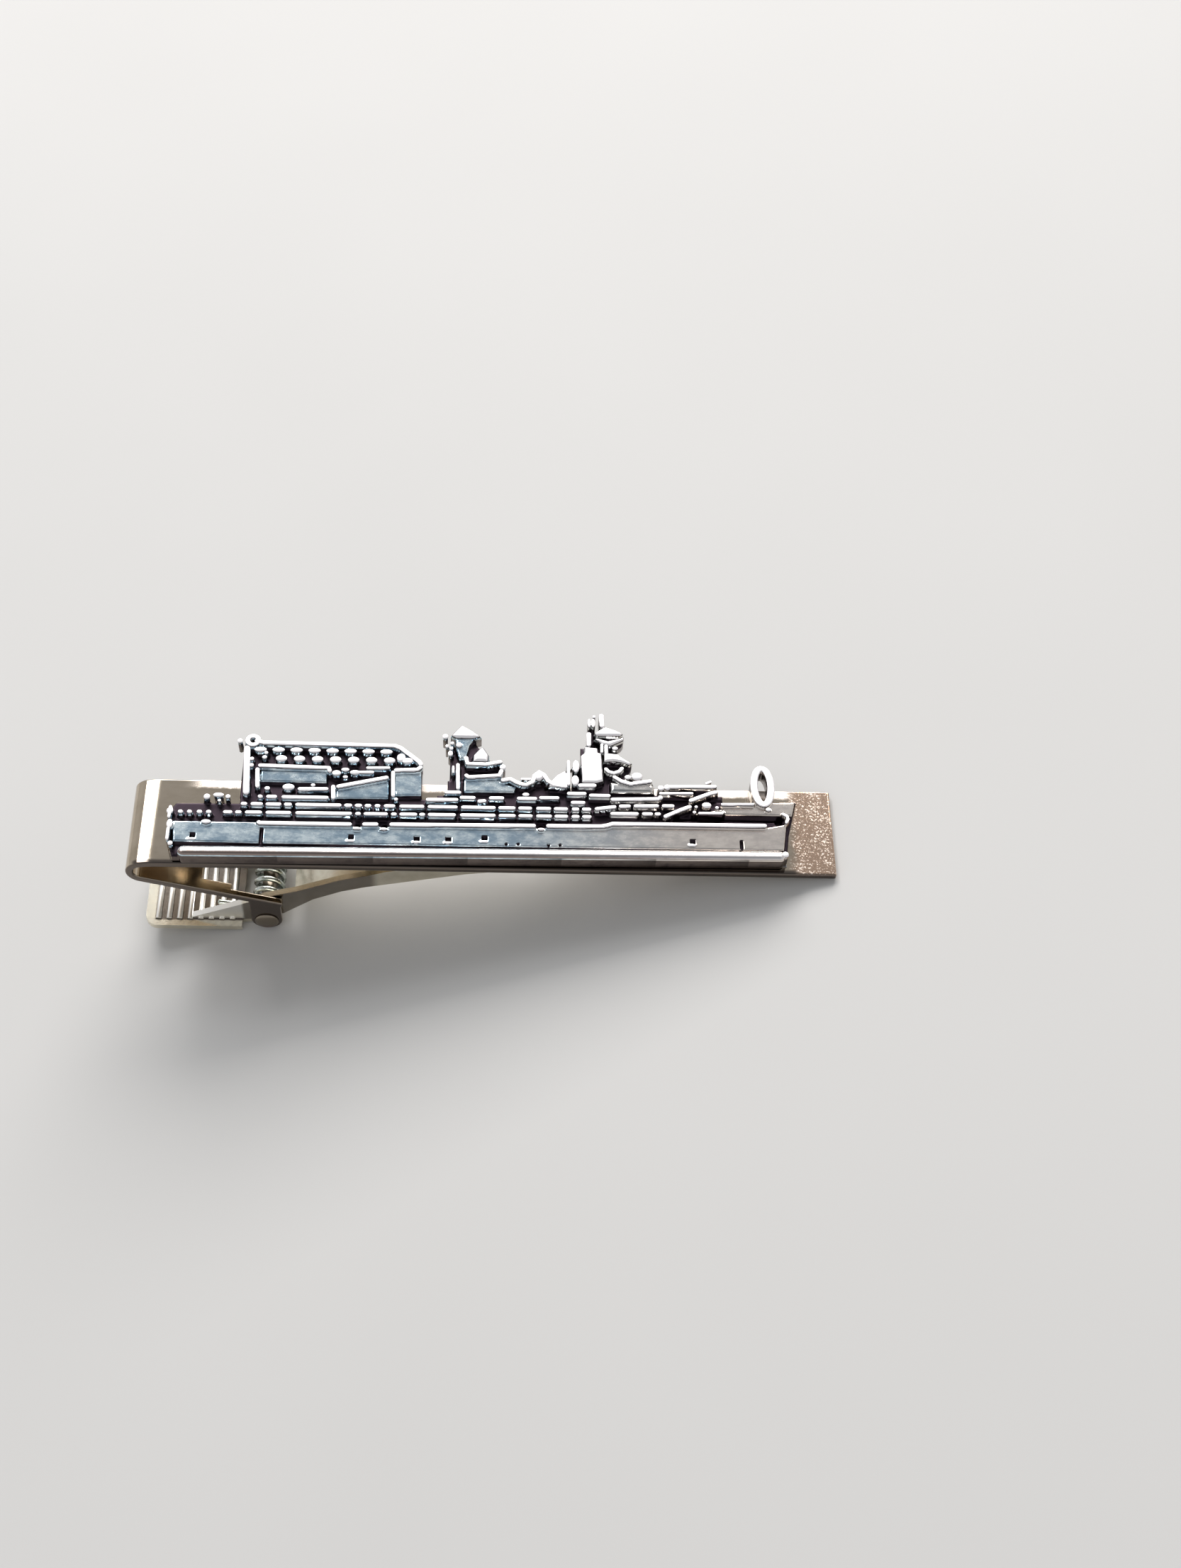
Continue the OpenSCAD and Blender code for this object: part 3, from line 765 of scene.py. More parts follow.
class Blank:
    """A closed metal blank that is joined, cut and has its edges broken."""

    weld: float = 0.002
    flat_turn: float = 0.6

    def __init__(self, mesh: bpy.types.Mesh) -> None:
        """Starts from a closed mesh in metres."""
        self.thing = put(mesh, "blank")

    @classmethod
    def prism(cls, outline: Sequence[Point], low: float, high: float, axis: str = "y") -> "Blank":
        """A straight prism.

        Args:
            outline: points in X and Z for axis y, or in X and Y for axis z.
            low: where it starts along the axis.
            high: where it ends along the axis.
            axis: the way that it stands.

        Returns:
            The blank.
        """
        def point(p: Point, level: float) -> Vector:
            """A point of the outline at a level along the axis, in metres."""
            return Vector((p[0], level, p[1]) if axis == "y" else (p[0], p[1], level)) * MM

        shape = bmesh.new()
        ends = [[shape.verts.new(point(p, level)) for p in outline] for level in (low, high)]
        for ring in ends:
            shape.faces.new(ring)
        for i in range(len(outline)):
            j = (i + 1) % len(outline)
            shape.faces.new((ends[0][i], ends[0][j], ends[1][j], ends[1][i]))
        bmesh.ops.recalc_face_normals(shape, faces=shape.faces)
        mesh = bpy.data.meshes.new("prism")
        shape.to_mesh(mesh)
        shape.free()
        return cls(mesh)

    def _combine(self, other: "Blank", operation: str) -> None:
        """Joins or cuts with another blank.

        Args:
            other: the other blank, which is used up.
            operation: the way that they are combined, as the modifier names it.
        """
        step = self.thing.modifiers.new("step", "BOOLEAN")
        step.operation = operation
        step.solver = "EXACT"
        step.object = other.thing
        self.thing = put(evaluated(self.thing), "blank")
        bpy.data.objects.remove(other.thing)

    def join(self, other: "Blank") -> None:
        """Joins another blank to this one."""
        self._combine(other, "UNION")

    def cut(self, other: "Blank") -> None:
        """Cuts another blank out of this one."""
        self._combine(other, "DIFFERENCE")

    def break_edges(self, width: float, turns: int = 3, angle: float = 40.0) -> bpy.types.Mesh:
        """Rounds the edges and returns the finished mesh.

        Args:
            width: how far the rounding reaches from the edge.
            turns: segments of the rounding.
            angle: edges that turn less than this stay as they are.

        Returns:
            The mesh, smooth but for its sharp turns.
        """
        self.thing.data.shade_smooth()
        weld = self.thing.modifiers.new("weld", "WELD")
        weld.merge_threshold = self.weld * MM
        flat = self.thing.modifiers.new("flat", "DECIMATE")
        flat.decimate_type = "DISSOLVE"
        flat.angle_limit = math.radians(self.flat_turn)
        edge = self.thing.modifiers.new("edge", "BEVEL")
        edge.width = width * MM
        edge.segments = turns
        edge.limit_method = "ANGLE"
        edge.angle_limit = math.radians(angle)
        edge.harden_normals = True
        edge.use_clamp_overlap = True
        even = self.thing.modifiers.new("even", "WEIGHTED_NORMAL")
        even.weight = 100
        even.keep_sharp = True
        return evaluated(self.thing)


def arc(centre: Point, radius: float, start: float, end: float, steps: int) -> list[Point]:
    """Points along a circle's arc, from one angle to another, in degrees."""
    angles = np.radians(np.linspace(start, end, steps))
    return [(centre[0] + radius * math.cos(a), centre[1] + radius * math.sin(a)) for a in angles]


# Bars and studs

class Growth(Tree):
    """A node tree that grows a mesh from marked points or lines."""

    def __init__(self, name: str, sizes: dict[str, tuple[str, Any]]) -> None:
        """Starts a tree.

        Args:
            name: the tree's name.
            sizes: its named inputs, each with its socket type and value.
        """
        group = bpy.data.node_groups.new(name, "GeometryNodeTree")
        super().__init__(group)
        self.sizes = {"Metal": ("NodeSocketMaterial", None), **sizes}
        face = group.interface
        face.new_socket("Geometry", in_out="INPUT", socket_type="NodeSocketGeometry")
        self.ids = {
            label: face.new_socket(label, in_out="INPUT", socket_type=kind).identifier
            for label, (kind, _) in self.sizes.items()
        }
        face.new_socket("Geometry", in_out="OUTPUT", socket_type="NodeSocketGeometry")
        self.source = self.add("NodeGroupInput").socket.node.outputs

    def marked(self, name: str, kind: str = "FLOAT") -> Sock:
        """A value kept on the points under a name."""
        return self.add("GeometryNodeInputNamedAttribute", {"data_type": kind}, {"Name": name})

    def close(self, shape: Sock) -> None:
        """Ends the tree: real geometry, smooth, in its metal.

        Args:
            shape: what the tree has grown.
        """
        real = self.add("GeometryNodeRealizeInstances", None, {0: shape})
        smooth = self.add("GeometryNodeSetShadeSmooth", None, {0: real})
        dressed = self.add("GeometryNodeSetMaterial", None, {0: smooth, "Material": self.source["Metal"]})
        self.add("NodeGroupOutput", None, {0: dressed})

    def grow(self, seed: bpy.types.Mesh, material: bpy.types.Material) -> bpy.types.Mesh:
        """Runs the tree on a mesh of points or lines.

        Args:
            seed: the points or lines, with their values kept on them.
            material: the finish.

        Returns:
            The grown mesh.
        """
        thing = put(seed, "seed")
        step = thing.modifiers.new("grow", "NODES")
        step.node_group = self.tree
        for label, (_, value) in self.sizes.items():
            step[self.ids[label]] = material if label == "Metal" else value
        return evaluated(thing)


def bar_growth(sides: int, flatness: float = 1.0) -> Growth:
    """Grows bars along lines; each point carries its radius and how the bar leans there.

    Args:
        sides: corners of the bar's section.
        flatness: height of the section as a share of its width.

    Returns:
        The tree.
    """
    sizes = {"Sides": ("NodeSocketInt", sides), "Section": ("NodeSocketVector", (1, flatness, 1))}
    tree = Growth("bars", sizes)
    lines = tree.add("GeometryNodeMeshToCurve", None, {0: tree.source["Geometry"]})
    upright = tree.add("GeometryNodeSetCurveNormal", {"mode": "Z_UP"}, {0: lines})
    leant = tree.add("GeometryNodeSetCurveTilt", None, {0: upright, "Tilt": tree.marked("lean")})
    ring = tree.add("GeometryNodeCurvePrimitiveCircle", None,
                    {"Resolution": tree.source["Sides"], "Radius": 1.0})
    section = tree.add("GeometryNodeTransform", None, {0: ring, "Scale": tree.source["Section"]})
    tree.close(tree.add("GeometryNodeCurveToMesh", None,
                        {"Curve": leant, "Profile Curve": section, "Scale": tree.marked("radius_m"),
                         "Fill Caps": True}))
    return tree


def stud_growth(around: int, along: int) -> Growth:
    """Grows an egg at each point; each point carries its three half sizes.

    Args:
        around: sides of an egg round its axis.
        along: rings of an egg along its axis.

    Returns:
        The tree.
    """
    tree = Growth("studs", {"Around": ("NodeSocketInt", around), "Along": ("NodeSocketInt", along)})
    egg = tree.add("GeometryNodeMeshUVSphere", None,
                   {"Segments": tree.source["Around"], "Rings": tree.source["Along"], "Radius": 1.0})
    tree.close(tree.add("GeometryNodeInstanceOnPoints", None,
                        {"Points": tree.source["Geometry"], "Instance": egg,
                         "Scale": tree.marked("half_m", "FLOAT_VECTOR")}))
    return tree


def lines_mesh(bars: Iterable["Bar"]) -> bpy.types.Mesh:
    """Makes a mesh of open lines, with the radius and the lean kept on each point.

    Args:
        bars: the bars, one line for each.

    Returns:
        The mesh, in metres.
    """
    rows = [bar.steps() for bar in bars]
    starts = np.cumsum([0] + [len(r) for r in rows])
    edges = [(i, i + 1) for a, b in zip(starts, starts[1:]) for i in range(a, b - 1)]
    every = np.concatenate(rows)
    mesh = bpy.data.meshes.new("lines")
    mesh.from_pydata((every[:, :3] * MM).tolist(), edges, [])
    mesh.attributes.new("radius_m", "FLOAT", "POINT").data.foreach_set("value", every[:, 3] * MM)
    mesh.attributes.new("lean", "FLOAT", "POINT").data.foreach_set("value", every[:, 4])
    return mesh


def points_mesh(points: Sequence[tuple[Sequence[float], Sequence[float]]]) -> bpy.types.Mesh:
    """Makes a mesh of loose points, with three half sizes kept on each.

    Args:
        points: the place and the half sizes of each, in millimetres.

    Returns:
        The mesh, in metres.
    """
    mesh = bpy.data.meshes.new("points")
    mesh.from_pydata([tuple(Vector(p) * MM) for p, _ in points], [], [])
    halves = [h * MM for _, half in points for h in half]
    mesh.attributes.new("half_m", "FLOAT_VECTOR", "POINT").data.foreach_set("vector", halves)
    return mesh


@dataclass(frozen=True)
class Bar:
    """A bar along a line, in millimetres; it leans about its line by an angle in degrees."""

    line: Sequence[Sequence[float]]
    radius: float
    lean: float = 0.0
    flatness: float = 1.0
    open_ends: bool = False
    nose_start: float = 0.12
    nose_most: float = 0.45

    @property
    def rise(self) -> float:
        """Half the height of the bar's section."""
        return self.radius * self.flatness

    def steps(self, fine: int = 4) -> np.ndarray:
        """Rows of place, radius and lean along the bar.

        Args:
            fine: how many rows round off each end.

        Returns:
            One row of X, Y, Z, radius and lean for each step.
        """
        line = np.array(self.line, float)
        rows = [(*p, self.radius) for p in line]
        if not self.open_ends:
            first, last = self._cap(line[0], line[1], fine), self._cap(line[-1], line[-2], fine)
            rows = first + rows[1:-1] + last[::-1]
        whole = np.array(rows)
        way = np.gradient(whole[:, :3], axis=0)
        along = way[:, 0] / np.maximum(np.linalg.norm(way, axis=1), 1e-9)
        return np.column_stack([whole, math.radians(self.lean) * along])

    def _cap(self, end: np.ndarray, inner: np.ndarray, fine: int) -> list[tuple[float, ...]]:
        """Lays out the rows that round off an end.

        Args:
            end: the end of the line.
            inner: the line's next point.
            fine: how many rows there are.

        Returns:
            X, Y, Z and radius of each row, from the tip inwards.
        """
        away = np.linalg.norm(inner - end)
        reach = min(self.radius, self.nose_most * away)
        turns = np.linspace(self.nose_start, 1.0, fine) * math.pi / 2
        return [(*(end + (inner - end) / away * reach * (1 - math.cos(t))), self.radius * math.sin(t))
                for t in turns]

    def drawn_in(self, share: float) -> tuple[Sequence[float], ...]:
        """Draws both ends of the line in.

        Args:
            share: how far, as a share of the radius.

        Returns:
            The shorter line.
        """
        line = np.array(self.line, float)
        for end, inner in ((0, 1), (-1, -2)):
            way = line[inner] - line[end]
            away = np.linalg.norm(way)
            line[end] += way * min(share * self.radius / away, self.nose_most)
        return tuple(map(tuple, line))


# Raised forms

@dataclass
class Grid:
    """The field of points on which the relief is raised."""

    columns: np.ndarray
    rows: np.ndarray
    far_out: float = -9.0
    least_slope: float = 0.25

    def __post_init__(self) -> None:
        """Lays the points out evenly, with nothing raised."""
        self.xs, self.ys = np.meshgrid(self.columns, self.rows)
        self.clear()

    def clear(self) -> None:
        """Takes away what is raised."""
        self.inside = np.full(self.xs.shape, self.far_out)
        self.height = np.zeros(self.xs.shape)
        self.mark = np.zeros(self.xs.shape)

    def window(self, low: Point, high: Point, margin: float) -> tuple[slice, slice]:
        """Finds the part of the field round a form.

        Args:
            low: lowest corner of the form.
            high: highest corner of the form.
            margin: how far the part reaches beyond the form.

        Returns:
            The part's rows and columns.
        """
        ranges = ((self.rows, low[1], high[1]), (self.columns, low[0], high[0]))
        down, along = (
            slice(np.searchsorted(places, least - margin), np.searchsorted(places, most + margin) + 1)
            for places, least, most in ranges
        )
        return down, along

    def move_to_edge(self, held: np.ndarray) -> None:
        """Moves the points that no form holds onto the nearest outline.

        Args:
            held: which points a form holds.
        """
        down, along = np.gradient(self.inside, self.columns[1] - self.columns[0])
        step = np.where(held, 0.0, -self.inside) / np.maximum(down ** 2 + along ** 2, self.least_slope)
        self.xs = self.xs + along * step
        self.ys = self.ys + down * step


def near_line(xs: np.ndarray, ys: np.ndarray, a: Point, b: Point) -> np.ndarray:
    """Measures how far each point lies from the line from a to b.

    Args:
        xs: places of the points along the ship.
        ys: places of the points up the ship.
        a: where the line starts.
        b: where it ends.

    Returns:
        The distances, laid out as the points are.
    """
    along = np.array(b, float) - np.array(a, float)
    length = max(float(along @ along), 1e-12)
    share = np.clip(((xs - a[0]) * along[0] + (ys - a[1]) * along[1]) / length, 0, 1)
    return np.hypot(xs - a[0] - share * along[0], ys - a[1] - share * along[1])


@dataclass(frozen=True)
class Plate:
    """A raised form with straight sides between its corners."""

    corners: tuple[Point, ...]
    level: float
    edge: float = 0.12

    def reach(self) -> tuple[Point, Point]:
        """Lowest and highest corner."""
        xs, ys = zip(*self.corners)
        return (min(xs), min(ys)), (max(xs), max(ys))

    def depth(self, xs: np.ndarray, ys: np.ndarray) -> np.ndarray:
        """Measures how deep each point lies inside the outline.

        Args:
            xs: places of the points along the ship.
            ys: places of the points up the ship.

        Returns:
            The depths, below zero outside.
        """
        near = np.full(xs.shape, np.inf)
        within = np.zeros(xs.shape, bool)
        for a, b in zip(self.corners, self.corners[1:] + self.corners[:1]):
            near = np.minimum(near, near_line(xs, ys, a, b))
            crosses = (a[1] > ys) != (b[1] > ys)
            rise = b[1] - a[1] if b[1] != a[1] else 1.0
            within ^= crosses & (xs < (b[0] - a[0]) * (ys - a[1]) / rise + a[0])
        return np.where(within, near, -near)


@dataclass(frozen=True)
class Bead:
    """A raised form that follows a line with a half width."""

    line: tuple[Point, ...]
    half: float
    level: float
    edge: float = 0.12

    def reach(self) -> tuple[Point, Point]:
        """Lowest and highest corner."""
        xs, ys = zip(*self.line)
        return (min(xs) - self.half, min(ys) - self.half), (max(xs) + self.half, max(ys) + self.half)

    def depth(self, xs: np.ndarray, ys: np.ndarray) -> np.ndarray:
        """How deep each point lies inside the outline, below zero outside."""
        pairs = zip(self.line[:-1], self.line[1:])
        return self.half - np.minimum.reduce([near_line(xs, ys, a, b) for a, b in pairs])


@dataclass(frozen=True)
class Oval:
    """A raised form with an oval outline."""

    centre: Point
    half: Point
    level: float
    edge: float = 0.12

    def reach(self) -> tuple[Point, Point]:
        """Lowest and highest corner."""
        (x, y), (a, b) = self.centre, self.half
        return (x - a, y - b), (x + a, y + b)

    def depth(self, xs: np.ndarray, ys: np.ndarray) -> np.ndarray:
        """How deep each point lies inside the outline, below zero outside."""
        away = np.hypot((xs - self.centre[0]) / self.half[0], (ys - self.centre[1]) / self.half[1])
        return (1 - away) * min(self.half)


Form = Plate | Bead | Oval


def block(x0: float, x1: float, y0: float, y1: float, level: float, edge: float = 0.12) -> Plate:
    """A rectangular raised form."""
    return Plate(((x0, y0), (x1, y0), (x1, y1), (x0, y1)), level, edge)


@dataclass
class Shell:
    """Makes a closed casting with a flat back of a raised field."""

    grid: Grid
    origin: Vector
    thinnest: float = 0.05

    @staticmethod
    def _joined(cells: np.ndarray) -> np.ndarray:
        """Covers one more cell wherever two covered cells touch at a corner only.

        Args:
            cells: which cells are covered.

        Returns:
            The cells with those added.
        """
        cells = cells.copy()
        while True:
            a, b, c, d = cells[:-1, :-1], cells[:-1, 1:], cells[1:, :-1], cells[1:, 1:]
            rising, falling = a & d & ~b & ~c, b & c & ~a & ~d
            if not (rising | falling).any():
                return cells
            cells[:-1, 1:] |= rising
            cells[:-1, :-1] |= falling

    @staticmethod
    def _blocks(cells: np.ndarray, largest: int = 32) -> list[tuple[int, int, int]]:
        """Splits the covered cells into squares.

        Args:
            cells: which cells are covered.
            largest: cells along the side of the largest square, a power of two.

        Returns:
            Row, column and side of each square.
        """
        left, blocks, size = cells.copy(), [], largest
        while size:
            for i in range(0, cells.shape[0] - size + 1, size):
                for j in range(0, cells.shape[1] - size + 1, size):
                    if left[i:i + size, j:j + size].all():
                        blocks.append((i, j, size))
                        left[i:i + size, j:j + size] = False
            size //= 2
        return blocks

    @staticmethod
    def _round_block(i: int, j: int, size: int) -> list[Point]:
        """Lists the points round a block, in turn.

        Args:
            i: its first row.
            j: its first column.
            size: cells along its side.

        Returns:
            Row and column of each point.
        """
        steps = range(size)
        return ([(i + k, j) for k in steps] + [(i + size, j + k) for k in steps]
                + [(i + size - k, j + size) for k in steps] + [(i, j + size - k) for k in steps])

    @staticmethod
    def _rim(quads: np.ndarray, count: int) -> np.ndarray:
        """Sides of the quads that have no quad beyond them, each in its quad's turn."""
        sides = np.concatenate([quads[:, [k, (k + 1) % 4]] for k in range(4)])
        return sides[~np.isin(sides @ (count, 1), sides @ (1, count))]

    def mesh(self, name: str, covered: np.ndarray) -> bpy.types.Mesh:
        """Joins front, walls and back; the back is made of the largest squares that fit.

        Args:
            name: the mesh's name.
            covered: which cells of the field the casting covers.

        Returns:
            The closed mesh, with attributes for the marks and the outer walls.
        """
        grid, cells = self.grid, self._joined(covered)
        number = np.arange(grid.xs.size).reshape(grid.xs.shape)
        quads = np.stack([number[:-1, :-1], number[:-1, 1:], number[1:, 1:], number[1:, :-1]], -1)[cells]
        rim = self._rim(quads, grid.xs.size)
        blocks = self._blocks(cells)
        outer = np.zeros(grid.xs.shape, bool)
        outer.flat[rim] = True
        kept = outer.copy()
        for i, j, size in blocks:
            kept[i:i + size + 1:size, j:j + size + 1:size] = True
        shape = bmesh.new()
        mark, wall = (shape.verts.layers.float.new(layer) for layer in (MARK, WALL))
        front, back = {}, {}
        for i in np.unique(quads):
            x, y = (self.origin.x + grid.xs.flat[i]) * MM, (self.origin.y + grid.ys.flat[i]) * MM
            height = max(grid.height.flat[i], self.thinnest)
            front[i] = shape.verts.new((x, y, (self.origin.z + height) * MM))
            front[i][mark], front[i][wall] = grid.mark.flat[i], outer.flat[i]
            if kept.flat[i]:
                back[i] = shape.verts.new((x, y, self.origin.z * MM))
                back[i][wall] = 1.0
        for quad in quads:
            shape.faces.new([front[i] for i in quad]).smooth = True
        for block in blocks:
            shape.faces.new([back[number[p]] for p in self._round_block(*block) if kept[p]])
        for a, b in rim:
            shape.faces.new((front[b], front[a], back[a], back[b])).smooth = True
            shape.edges.get((back[a], back[b])).smooth = False
        mesh = bpy.data.meshes.new(name)
        shape.to_mesh(mesh)
        shape.free()
        return mesh


# Ship

@dataclass
class ShipRelief:
    """The cast ship: its places run from the stern and the keel, its levels from its own back."""

    plate: float = 0.7
    panel: float = 1.1
    ridge: float = 1.45
    field: tuple[Point, Point] = ((-0.5, 49.9), (-0.7, 14.3))
    pitch: float = 0.07
    margin: float = 0.21
    draft: float = 0.09
    foot: float = 0.012
    # reach of the painted shade round each pit
    soil: float = 0.04
    sharp: float = 0.07
    rail_half: float = 0.17
    rail_gap: float = 0.02
    deck_half: float = 0.19
    crown: float = 0.3
    half_round: float = 0.44
    egg: float = 0.32
    foot_share: float = 0.85
    foot_edges: Point = (0.04, 0.05)
    stud_foot: float = 0.9
    bar_sides: int = 16
    stud_sides: tuple[int, int] = (20, 12)
    lean: float = -12.0
    keel_inset: float = 0.3
    bead_line: tuple[Point, Point] = ((1.0, 0.1), (48.0, 0.55))
    bead_half: float = 0.45
    bead_axis: float = 0.3
    pads: tuple[int, float, float] = (8, 6.62, 16.58)
    upper_pads: tuple[float, Point] = (9.58, (0.5, 0.24))
    lower_pads: tuple[float, Point] = (8.76, (0.46, 0.3))
    lower_shift: float = 0.2
    ports: tuple[Point, ...] = (
        (1.99, 1.6), (14.17, 1.68), (19.26, 1.65), (21.71, 1.65), (24.52, 1.82), (40.8, 1.83),
    )
    port_half: float = 0.2
    port_depth: float = 0.32
    pit_edge: float = 0.05
    lip_shift: Point = (-0.06, -0.34)
    lip_half: Point = (0.34, 0.13)
    lip_rise: float = 0.06
    upper_rail: Point = (4.38, 0.003)
    upper_dashes: tuple[Point, ...] = (
        (5.47, 6.01), (6.23, 7.22), (7.39, 8.65), (8.81, 9.47), (9.69, 13.32), (13.49, 14.15), (14.31, 14.92),
        (15.08, 15.64), (15.86, 16.35), (16.57, 17.51), (17.79, 19.78), (20.0, 22.38), (22.61, 25.36),
        (25.53, 26.92), (27.09, 28.22), (28.5, 29.72), (29.89, 31.04), (31.3, 31.93), (32.1, 32.87),
    )
    lower_rail: Point = (3.57, 0.0065)
    lower_dashes: tuple[Point, ...] = (
        (0.7, 1.1), (1.4, 1.8), (2.15, 2.6), (2.86, 3.3), (4.17, 4.93), (5.1, 5.64), (5.86, 7.22),
        (7.45, 9.47), (9.75, 14.18), (14.38, 14.87), (15.04, 16.96), (17.16, 17.65), (17.82, 19.25),
        (19.36, 19.86), (20.03, 22.26), (22.54, 25.37), (25.56, 26.94), (27.11, 28.27),
        (28.5, 29.78), (29.94, 31.05), (31.28, 31.95), (32.11, 32.89),
    )

    def __post_init__(self) -> None:
        """Takes the casting's place from the frame."""
        low = corner("ship_casting", 0)
        self.origin = Vector((low.x, corner("folded_strip", 0).y + self.keel_inset, low.z))

    def rails(self) -> list[Bar]:
        """Lays out the dashes of the rails and the bars along the decks.

        Returns:
            One bar for each.
        """
        half, gap = self.rail_half, self.rail_gap

        def dash(a: float, b: float, y: float, rise: float) -> Bar:
            """One dash from a to b on a rail that starts at y and rises towards the bow."""
            return Bar(((a + gap, y + rise * a), (b - gap, y + rise * b)), half, self.lean, self.crown)

        bars = [dash(*ends, *self.upper_rail) for ends in self.upper_dashes]
        bars += [dash(*ends, *self.lower_rail) for ends in self.lower_dashes]
        bars += [Bar(line, self.deck_half, self.lean, self.crown) for line in (
            ((6.9, 2.78), (7.1, 2.66), (14.2, 2.68)), ((15.0, 2.7), (16.25, 2.72)),
            ((17.1, 2.73), (28.5, 2.86)),
            ((29.3, 2.87), (33.6, 2.92), (34.1, 3.02), (34.5, 3.18), (46.7, 3.26)),
        )]
        bars += [Bar(line, half, self.lean, self.crown) for line in (
            ((33.13, 4.52), (34.84, 4.78)), ((35.05, 4.83), (35.99, 4.86)), ((36.21, 4.87), (38.22, 4.93)),
            ((38.45, 4.93), (39.45, 4.95)), ((34.35, 4.12), (36.6, 4.15)), ((36.85, 4.15), (37.72, 4.16)),
            ((37.85, 4.16), (38.35, 4.16)), ((6.75, 5.11), (7.1, 5.11)), ((7.4, 5.11), (8.25, 5.11)),
            ((8.6, 5.1), (12.25, 5.11)), ((19.85, 5.1), (22.4, 5.15)), ((22.5, 5.36), (23.75, 5.36)),
            ((23.9, 5.03), (24.6, 5.1)), ((24.8, 5.36), (26.0, 5.38)), ((27.0, 5.38), (28.6, 5.4)),
            ((28.75, 5.48), (30.35, 5.5)), ((30.95, 5.94), (32.5, 5.96)), ((31.25, 5.09), (32.4, 5.1)),
            ((32.7, 5.8), (34.4, 5.8)), ((34.4, 5.46), (38.3, 5.6)), ((21.3, 5.84), (22.6, 5.84)),
            ((9.8, 5.88), (12.2, 5.93)),
        )]
        return bars

    def frames(self) -> list[Bar]:
        """Lays out posts, chords, guns and crests of the houses, and the ring at the crane's head.

        Returns:
            One bar for each.
        """
        lines = [
            (((6.1, 10.45), (6.8, 10.26), (17.2, 10.2), (17.7, 9.99), (19.2, 8.7), (19.44, 8.3)), 0.2),
            (((19.44, 8.25), (19.1, 7.95), (17.25, 7.84)), 0.18),
            (((5.55, 9.9), (5.83, 5.25)), 0.26), (((6.52, 7.8), (6.66, 5.9)), 0.17),
            (((6.55, 8.05), (12.1, 7.95), (12.24, 7.5)), 0.19), (((12.55, 6.3), (12.63, 4.95)), 0.17),
            (((12.8, 6.15), (16.85, 7.16)), 0.19), (((17.18, 7.75), (17.28, 5.3)), 0.16),
            (((15.05, 8.0), (16.95, 8.05)), 0.13), (((13.85, 7.55), (15.7, 7.6)), 0.12),
            (((22.9, 9.3), (23.04, 8.62), (24.5, 8.58), (25.8, 8.88)), 0.18),
            (((22.86, 7.56), (23.15, 7.33), (25.6, 7.55), (25.8, 8.1)), 0.18),
            (((25.72, 7.07), (26.47, 7.23), (26.87, 6.97), (27.28, 6.77), (27.73, 6.71), (28.25, 7.0),
              (28.4, 7.6), (28.76, 7.95), (29.15, 7.65), (29.45, 7.1), (29.95, 6.77), (31.0, 6.6)), 0.19),
            (((22.29, 8.6), (22.35, 6.1)), 0.15), (((21.92, 8.35), (21.94, 7.65)), 0.09),
            (((27.3, 7.22), (28.1, 7.24)), 0.1), (((31.1, 9.1), (31.09, 6.7)), 0.13),
            (((31.84, 6.73), (33.3, 6.76)), 0.19), (((33.8, 13.75), (33.84, 12.4)), 0.2),
            (((32.77, 11.9), (32.75, 10.5)), 0.19), (((33.79, 10.8), (33.78, 9.9)), 0.12),
            (((34.14, 10.7), (34.14, 9.8)), 0.15),
            (((34.0, 8.45), (34.3, 8.1), (34.7, 7.98), (35.15, 8.15), (35.45, 8.55)), 0.16),
            (((34.62, 7.69), (35.3, 7.22), (36.04, 6.98), (36.62, 7.11), (37.75, 7.3)), 0.17),
            (((39.0, 6.78), (42.9, 6.88)), 0.16), (((38.27, 6.11), (41.0, 6.18)), 0.11),
            (((42.0, 7.12), (42.5, 7.33)), 0.1), (((40.62, 5.44), (42.31, 6.2), (42.95, 6.4)), 0.18),
            (((38.56, 3.88), (39.94, 4.6), (40.8, 4.97)), 0.18),
            (((41.3, 4.3), (43.2, 4.34), (43.38, 4.55)), 0.12), (((43.15, 5.19), (45.8, 5.26)), 0.11),
            (((0.14, 0.95), (0.14, 2.1)), 0.13), (((0.08, 2.95), (0.12, 4.1)), 0.13),
            (((47.95, 4.42), (48.35, 4.2), (48.42, 3.9), (48.22, 3.5)), 0.13),
        ]
        bars = [Bar(line, radius, self.lean, self.crown) for line, radius in lines]
        return bars + [self.loop(centre=(5.97, 10.44), along=0.42, up=0.42, half=0.2)]

    def leads(self) -> list[Bar]:
        """The open ring over the bow."""
        return [self.loop(centre=(46.58, 7.0), along=0.68, up=1.72, half=0.3)]

    def moulding(self) -> Bar:
        """The half-round moulding along the keel."""
        return Bar(self.bead_line, self.bead_half, self.lean, self.half_round)

